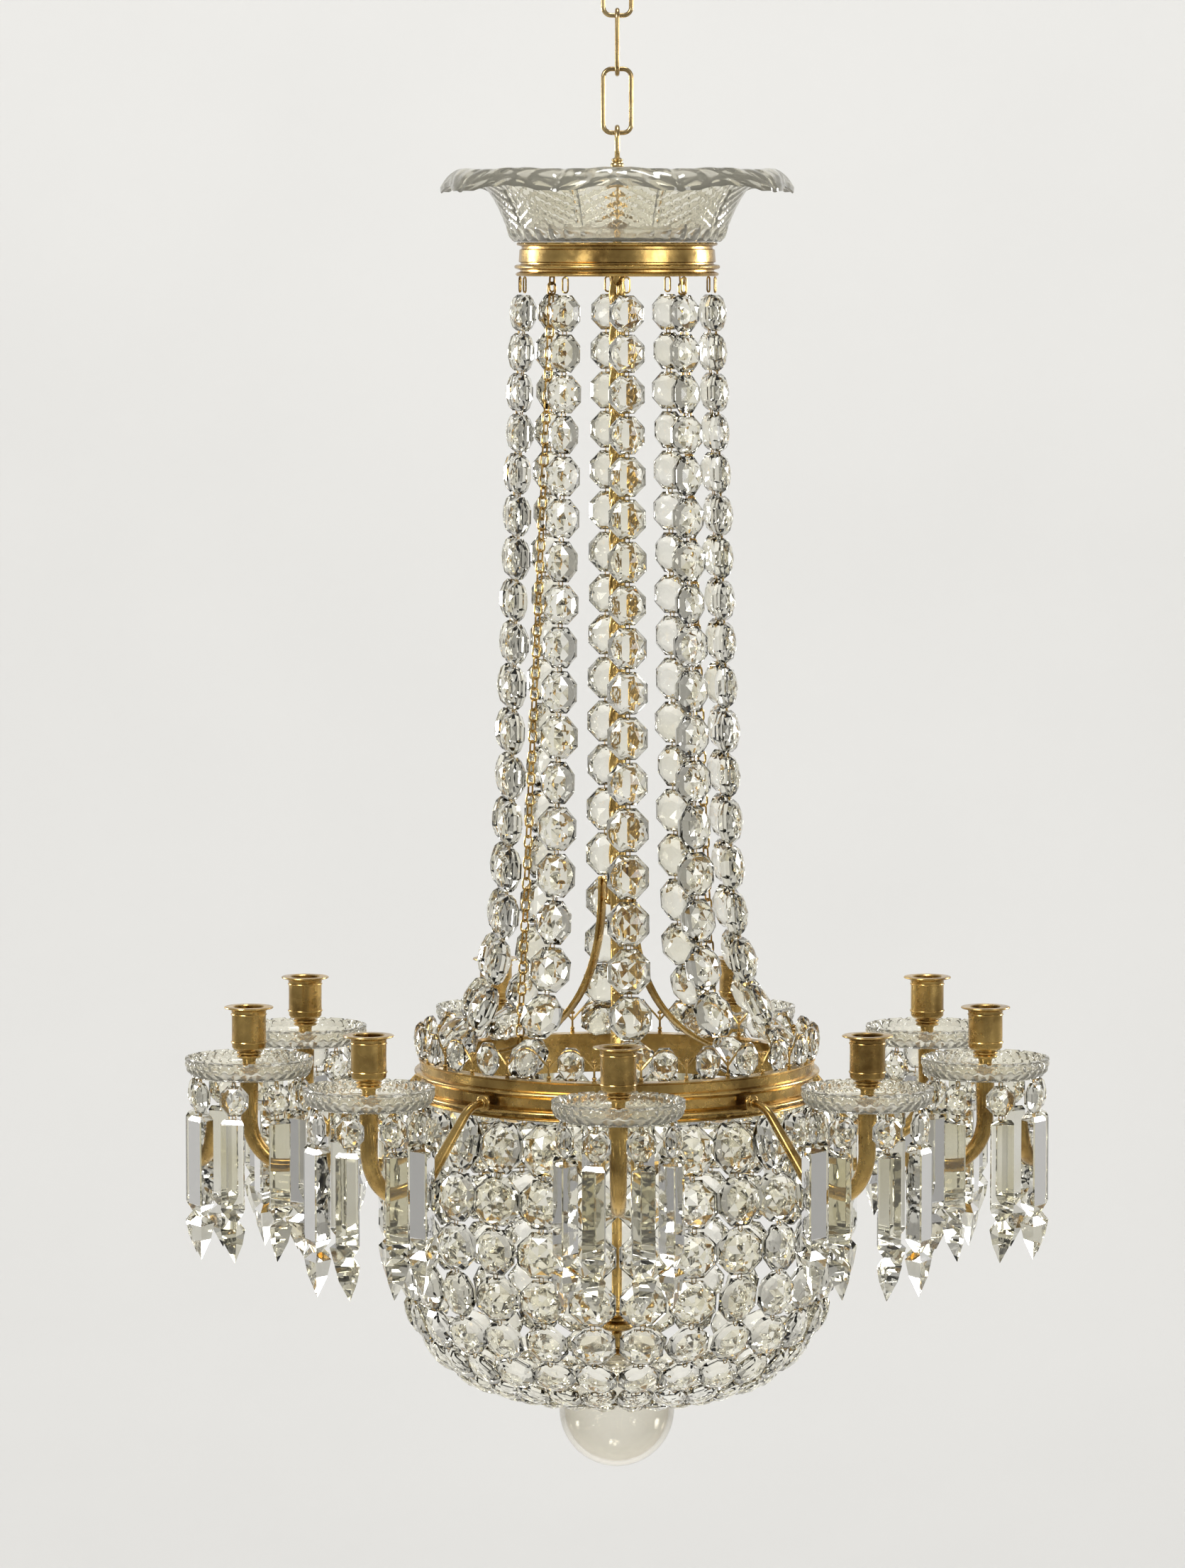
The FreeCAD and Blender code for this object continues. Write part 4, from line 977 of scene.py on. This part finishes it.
class CHANDELIER_OT_pans(bpy.types.Operator):
    """Nine cut-glass drip pans with hobnailed walls and blocked rims"""
    bl_idname = "chandelier.pans"
    bl_label = "Drip pans"

    def execute(self, context):
        glass = context.scene.chandelier_glass
        low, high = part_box("drip_pan_1")
        rise, wall = high.z - low.z, glass.pan_wall
        outer = [(0.041, 0.0), (0.0440, 0.04), (0.0472, 0.22), (0.0490, 0.48), (0.0496, 0.76), (0.0492, 0.97)]
        inner = [(0.0492 - wall * 0.8, 1.0), (0.0496 - wall, 0.76), (0.0486 - wall, 0.55),
                 (0.0460 - wall, 0.38), (0.038, PAN_FLOOR)]
        outline = [(PAN_HOLE, 0.0)]
        for side, per in ((outer, 4), (inner, 3)):
            outline += smooth_line([(r, up * rise) for r, up in side], per)
        outline.append((PAN_HOLE, PAN_FLOOR * rise))
        bm = turned(outline, glass.pan_cuts * 6, closed=True)
        for vert in bm.verts:
            if vert.co.xy.length >= PAN_PLAIN:
                self.cut(vert, glass, rise)
        pan = pattern(bm)
        for node in nodes_like("drip_pan_"):
            low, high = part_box(node)
            middle = (low + high) / 2
            made = bmesh.new()
            add_copy(made, pan, Matrix.Translation((middle.x, middle.y, low.z)))
            piece(node.replace("drip_pan", "pan_glass"), made, [node], "cut_glass", sharp=SHARP_CUTS)
        return {"FINISHED"}

    def cut(self, vert, glass, rise):
        """Crossed mitre cuts that leave hobnails on the wall, and blocks along the rim."""
        r, up = vert.co.xy.length, vert.co.z / rise
        turn = math.atan2(vert.co.x, -vert.co.y)
        slant = math.pi * up * 1.6
        nail = abs(math.sin(glass.pan_cuts / 2 * turn + slant) * math.sin(glass.pan_cuts / 2 * turn - slant))
        block = (turn * glass.pan_blocks / (2 * math.pi)) % 1.0
        if up < NAILS_TO and r > NAILS_FROM:
            vert.co.xy *= 1.0 - glass.pan_cut * (1.0 - nail) / r
        elif up > RIM_FROM and not BLOCK_GAP <= block <= 1.0 - BLOCK_GAP:
            vert.co.xy *= 1.0 - BLOCK_IN / r
            vert.co.z -= BLOCK_DOWN


# ---- ball ----
BALL_NECK = 6.5 * MM    # radius of the ball's neck


class CHANDELIER_OT_ball(bpy.types.Operator):
    """Hollow glass ball on its brass cap"""
    bl_idname = "chandelier.ball"
    bl_label = "Glass ball"

    def execute(self, context):
        glass = context.scene.chandelier_glass
        radius = glass.ball_size / 2
        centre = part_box("glass_ball")[0].z + radius

        def arc(r, steps):
            """From the neck down to the axis."""
            neck = math.asin(BALL_NECK / r)
            turns = [neck + (math.pi - neck) * k / steps for k in range(steps)]
            return [(r * math.sin(t), centre + r * math.cos(t)) for t in turns] + [(0.0, centre - r)]

        shell = turned(arc(radius - glass.ball_wall, 36)[::-1] + arc(radius, 40), 96)
        piece("ball_shell", shell, ["glass_ball"], "ball_glass", "ball", sharp=SHARP_BALL)
        low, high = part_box("ball_cap")
        r, top = high.x, high.z
        outline = profile(0, top, [(4.3, 0), (6, 0), (6.2, -0.2, -2, 1, 4), (6.5, -2.4)])
        outline += profile(r, top, [(-2, -4)]) + swell(r - 1.2 * MM, top - 4.2 * MM, low.z, 1.2 * MM, 4)
        outline += profile(0, low.z, [(6.6, 0.8)]) + profile(0, top, [(4.3, -4.5)])
        piece("ball_cap_brass", turned(outline, 48, closed=True), ["ball_cap"], body="ball")
        return {"FINISHED"}


# ---- stage ----
MIDDLE = (0.0, 0.0, -0.65)
STAGE_FLOOR, STAGE_WALL, STAGE_BEND, STAGE_TOP = -3.2, 10.5, 2.2, 7.0
LAMPS = (   # name, place, size, watts, what it is aimed at
    ("key", (-2.2, -2.6, 1.3), 1.3, 84.0, MIDDLE),
    ("fill", (2.6, -2.4, 0.2), 1.6, 37.0, MIDDLE),
    ("top", (0.3, 0.2, 2.2), 1.0, 33.0, MIDDLE),
    ("backdrop", (0.0, 2.4, 3.2), 2.0, 500.0, (0.0, STAGE_WALL, -1.6)),
    ("left_edge", (-2.4, 1.3, -0.4), 0.8, 35.0, MIDDLE),
    ("right_edge", (2.4, 1.2, -0.2), 0.8, 35.0, MIDDLE),
)
WORLD_COLOUR = (1.0, 0.985, 0.955, 1.0)
WORLD_LEVEL, WORLD_IN_GLASS = 0.38, 0.62
CAMERA_PLACE, CAMERA_AIM, CAMERA_LENS = (-0.019, -4.70, -0.223), (-0.019, 0.0, -0.639), 139.6


class CHANDELIER_OT_stage(bpy.types.Operator):
    """Round pale studio whose floor sweeps up into its wall, soft lamps and the camera"""
    bl_idname = "chandelier.stage"
    bl_label = "Stage"

    def execute(self, context):
        self.sweep(context.scene.chandelier_colours)
        self.world(context)
        for name, place, size, power, at in LAMPS:
            data = bpy.data.lights.new(name, "AREA")
            data.shape, data.size, data.energy = "DISK", size, power
            self.put(name, data, place, at).visible_camera = False
        data = bpy.data.cameras.new("camera")
        data.sensor_fit, data.sensor_height, data.sensor_width = "VERTICAL", 36.0, 36.0
        data.lens, data.clip_start, data.clip_end = CAMERA_LENS, 0.1, 40.0
        context.scene.camera = self.put("camera", data, CAMERA_PLACE, CAMERA_AIM)
        context.scene.view_settings.view_transform = "Standard"
        return {"FINISHED"}

    def put(self, name, data, place, at):
        """A lamp or camera in its place, aimed at a point."""
        new = bpy.data.objects.new(name, data)
        new.location = place
        new.rotation_euler = (Vector(at) - new.location).to_track_quat("-Z", "Y").to_euler()
        bpy.context.scene.collection.objects.link(new)
        return new

    def sweep(self, colours, steps=12):
        """One sheet all round: floor, wide bend and wall, far enough out for the camera to go round."""
        turns = [math.pi / 2 * k / steps for k in range(steps + 1)]
        arc = [(STAGE_WALL - STAGE_BEND * (1 - math.sin(t)), STAGE_FLOOR + STAGE_BEND * (1 - math.cos(t)))
               for t in turns]
        bm = turned([(0, STAGE_FLOOR)] + arc + [(STAGE_WALL, STAGE_TOP)], 96)
        bmesh.ops.reverse_faces(bm, faces=bm.faces[:])
        mesh = pattern(bm, "sweep")
        mesh.shade_smooth()
        made = Recipe("stage paint", Roughness=0.85)
        made.to("Base Color", made.blend(made.noise(STAGE_TONE, 2.0), [c * 0.98 for c in colours.stage],
                                         list(colours.stage), 0.3, 0.7))
        mesh.materials.append(made.material)
        sheet = bpy.data.objects.new("sweep", mesh)
        bpy.context.scene.collection.objects.link(sheet)

    def world(self, context):
        """Even pale light, brighter where it is seen through glass."""
        world = bpy.data.worlds.new("studio")
        world.use_nodes = True
        nodes, links = world.node_tree.nodes, world.node_tree.links
        back = nodes["Background"]
        back.inputs["Color"].default_value = WORLD_COLOUR
        level = nodes.new("ShaderNodeMapRange")
        for end, strength in (("To Min", WORLD_LEVEL), ("To Max", WORLD_IN_GLASS)):
            level.inputs[end].default_value = strength
        rays = nodes.new("ShaderNodeLightPath")
        links.new(rays.outputs["Is Transmission Ray"], level.inputs["Value"])
        links.new(level.outputs["Result"], back.inputs["Strength"])
        context.scene.world = world


# ---- add-on ----
class CHANDELIER_PT_panel(bpy.types.Panel):
    """Lists the pieces, sizes and colours"""
    bl_idname = "CHANDELIER_PT_panel"
    bl_label = "Crystal chandelier"
    bl_space_type = "VIEW_3D"
    bl_region_type = "UI"
    bl_category = "Chandelier"

    def draw(self, context):
        for maker in MAKERS:
            self.layout.operator(maker.bl_idname)
        for group in (context.scene.chandelier_metal, context.scene.chandelier_glass,
                      context.scene.chandelier_colours):
            box = self.layout.box()
            for name in group.__annotations__:
                box.prop(group, name)


MAKERS = (
    CHANDELIER_OT_stage, CHANDELIER_OT_chain, CHANDELIER_OT_stem, CHANDELIER_OT_corona,
    CHANDELIER_OT_crown, CHANDELIER_OT_tent, CHANDELIER_OT_straps, CHANDELIER_OT_ring,
    CHANDELIER_OT_arms, CHANDELIER_OT_cups, CHANDELIER_OT_pans, CHANDELIER_OT_drops,
    CHANDELIER_OT_bag, CHANDELIER_OT_ball,
)
GROUPS = {"chandelier_metal": ChandelierMetal, "chandelier_glass": ChandelierGlass,
          "chandelier_colours": ChandelierColours}


def register():
    for name, group in GROUPS.items():
        bpy.utils.register_class(group)
        setattr(bpy.types.Scene, name, PointerProperty(type=group))
    for kind in (*MAKERS, CHANDELIER_PT_panel):
        bpy.utils.register_class(kind)


def unregister():
    for kind in (CHANDELIER_PT_panel, *reversed(MAKERS)):
        bpy.utils.unregister_class(kind)
    for name, group in reversed(GROUPS.items()):
        delattr(bpy.types.Scene, name)
        bpy.utils.unregister_class(group)


def main():
    register()
    FINISHES.update(make_finishes(bpy.context.scene.chandelier_colours))
    for maker in MAKERS:
        family, name = maker.bl_idname.split(".")
        getattr(getattr(bpy.ops, family), name)()


if __name__ == "__main__":
    main()
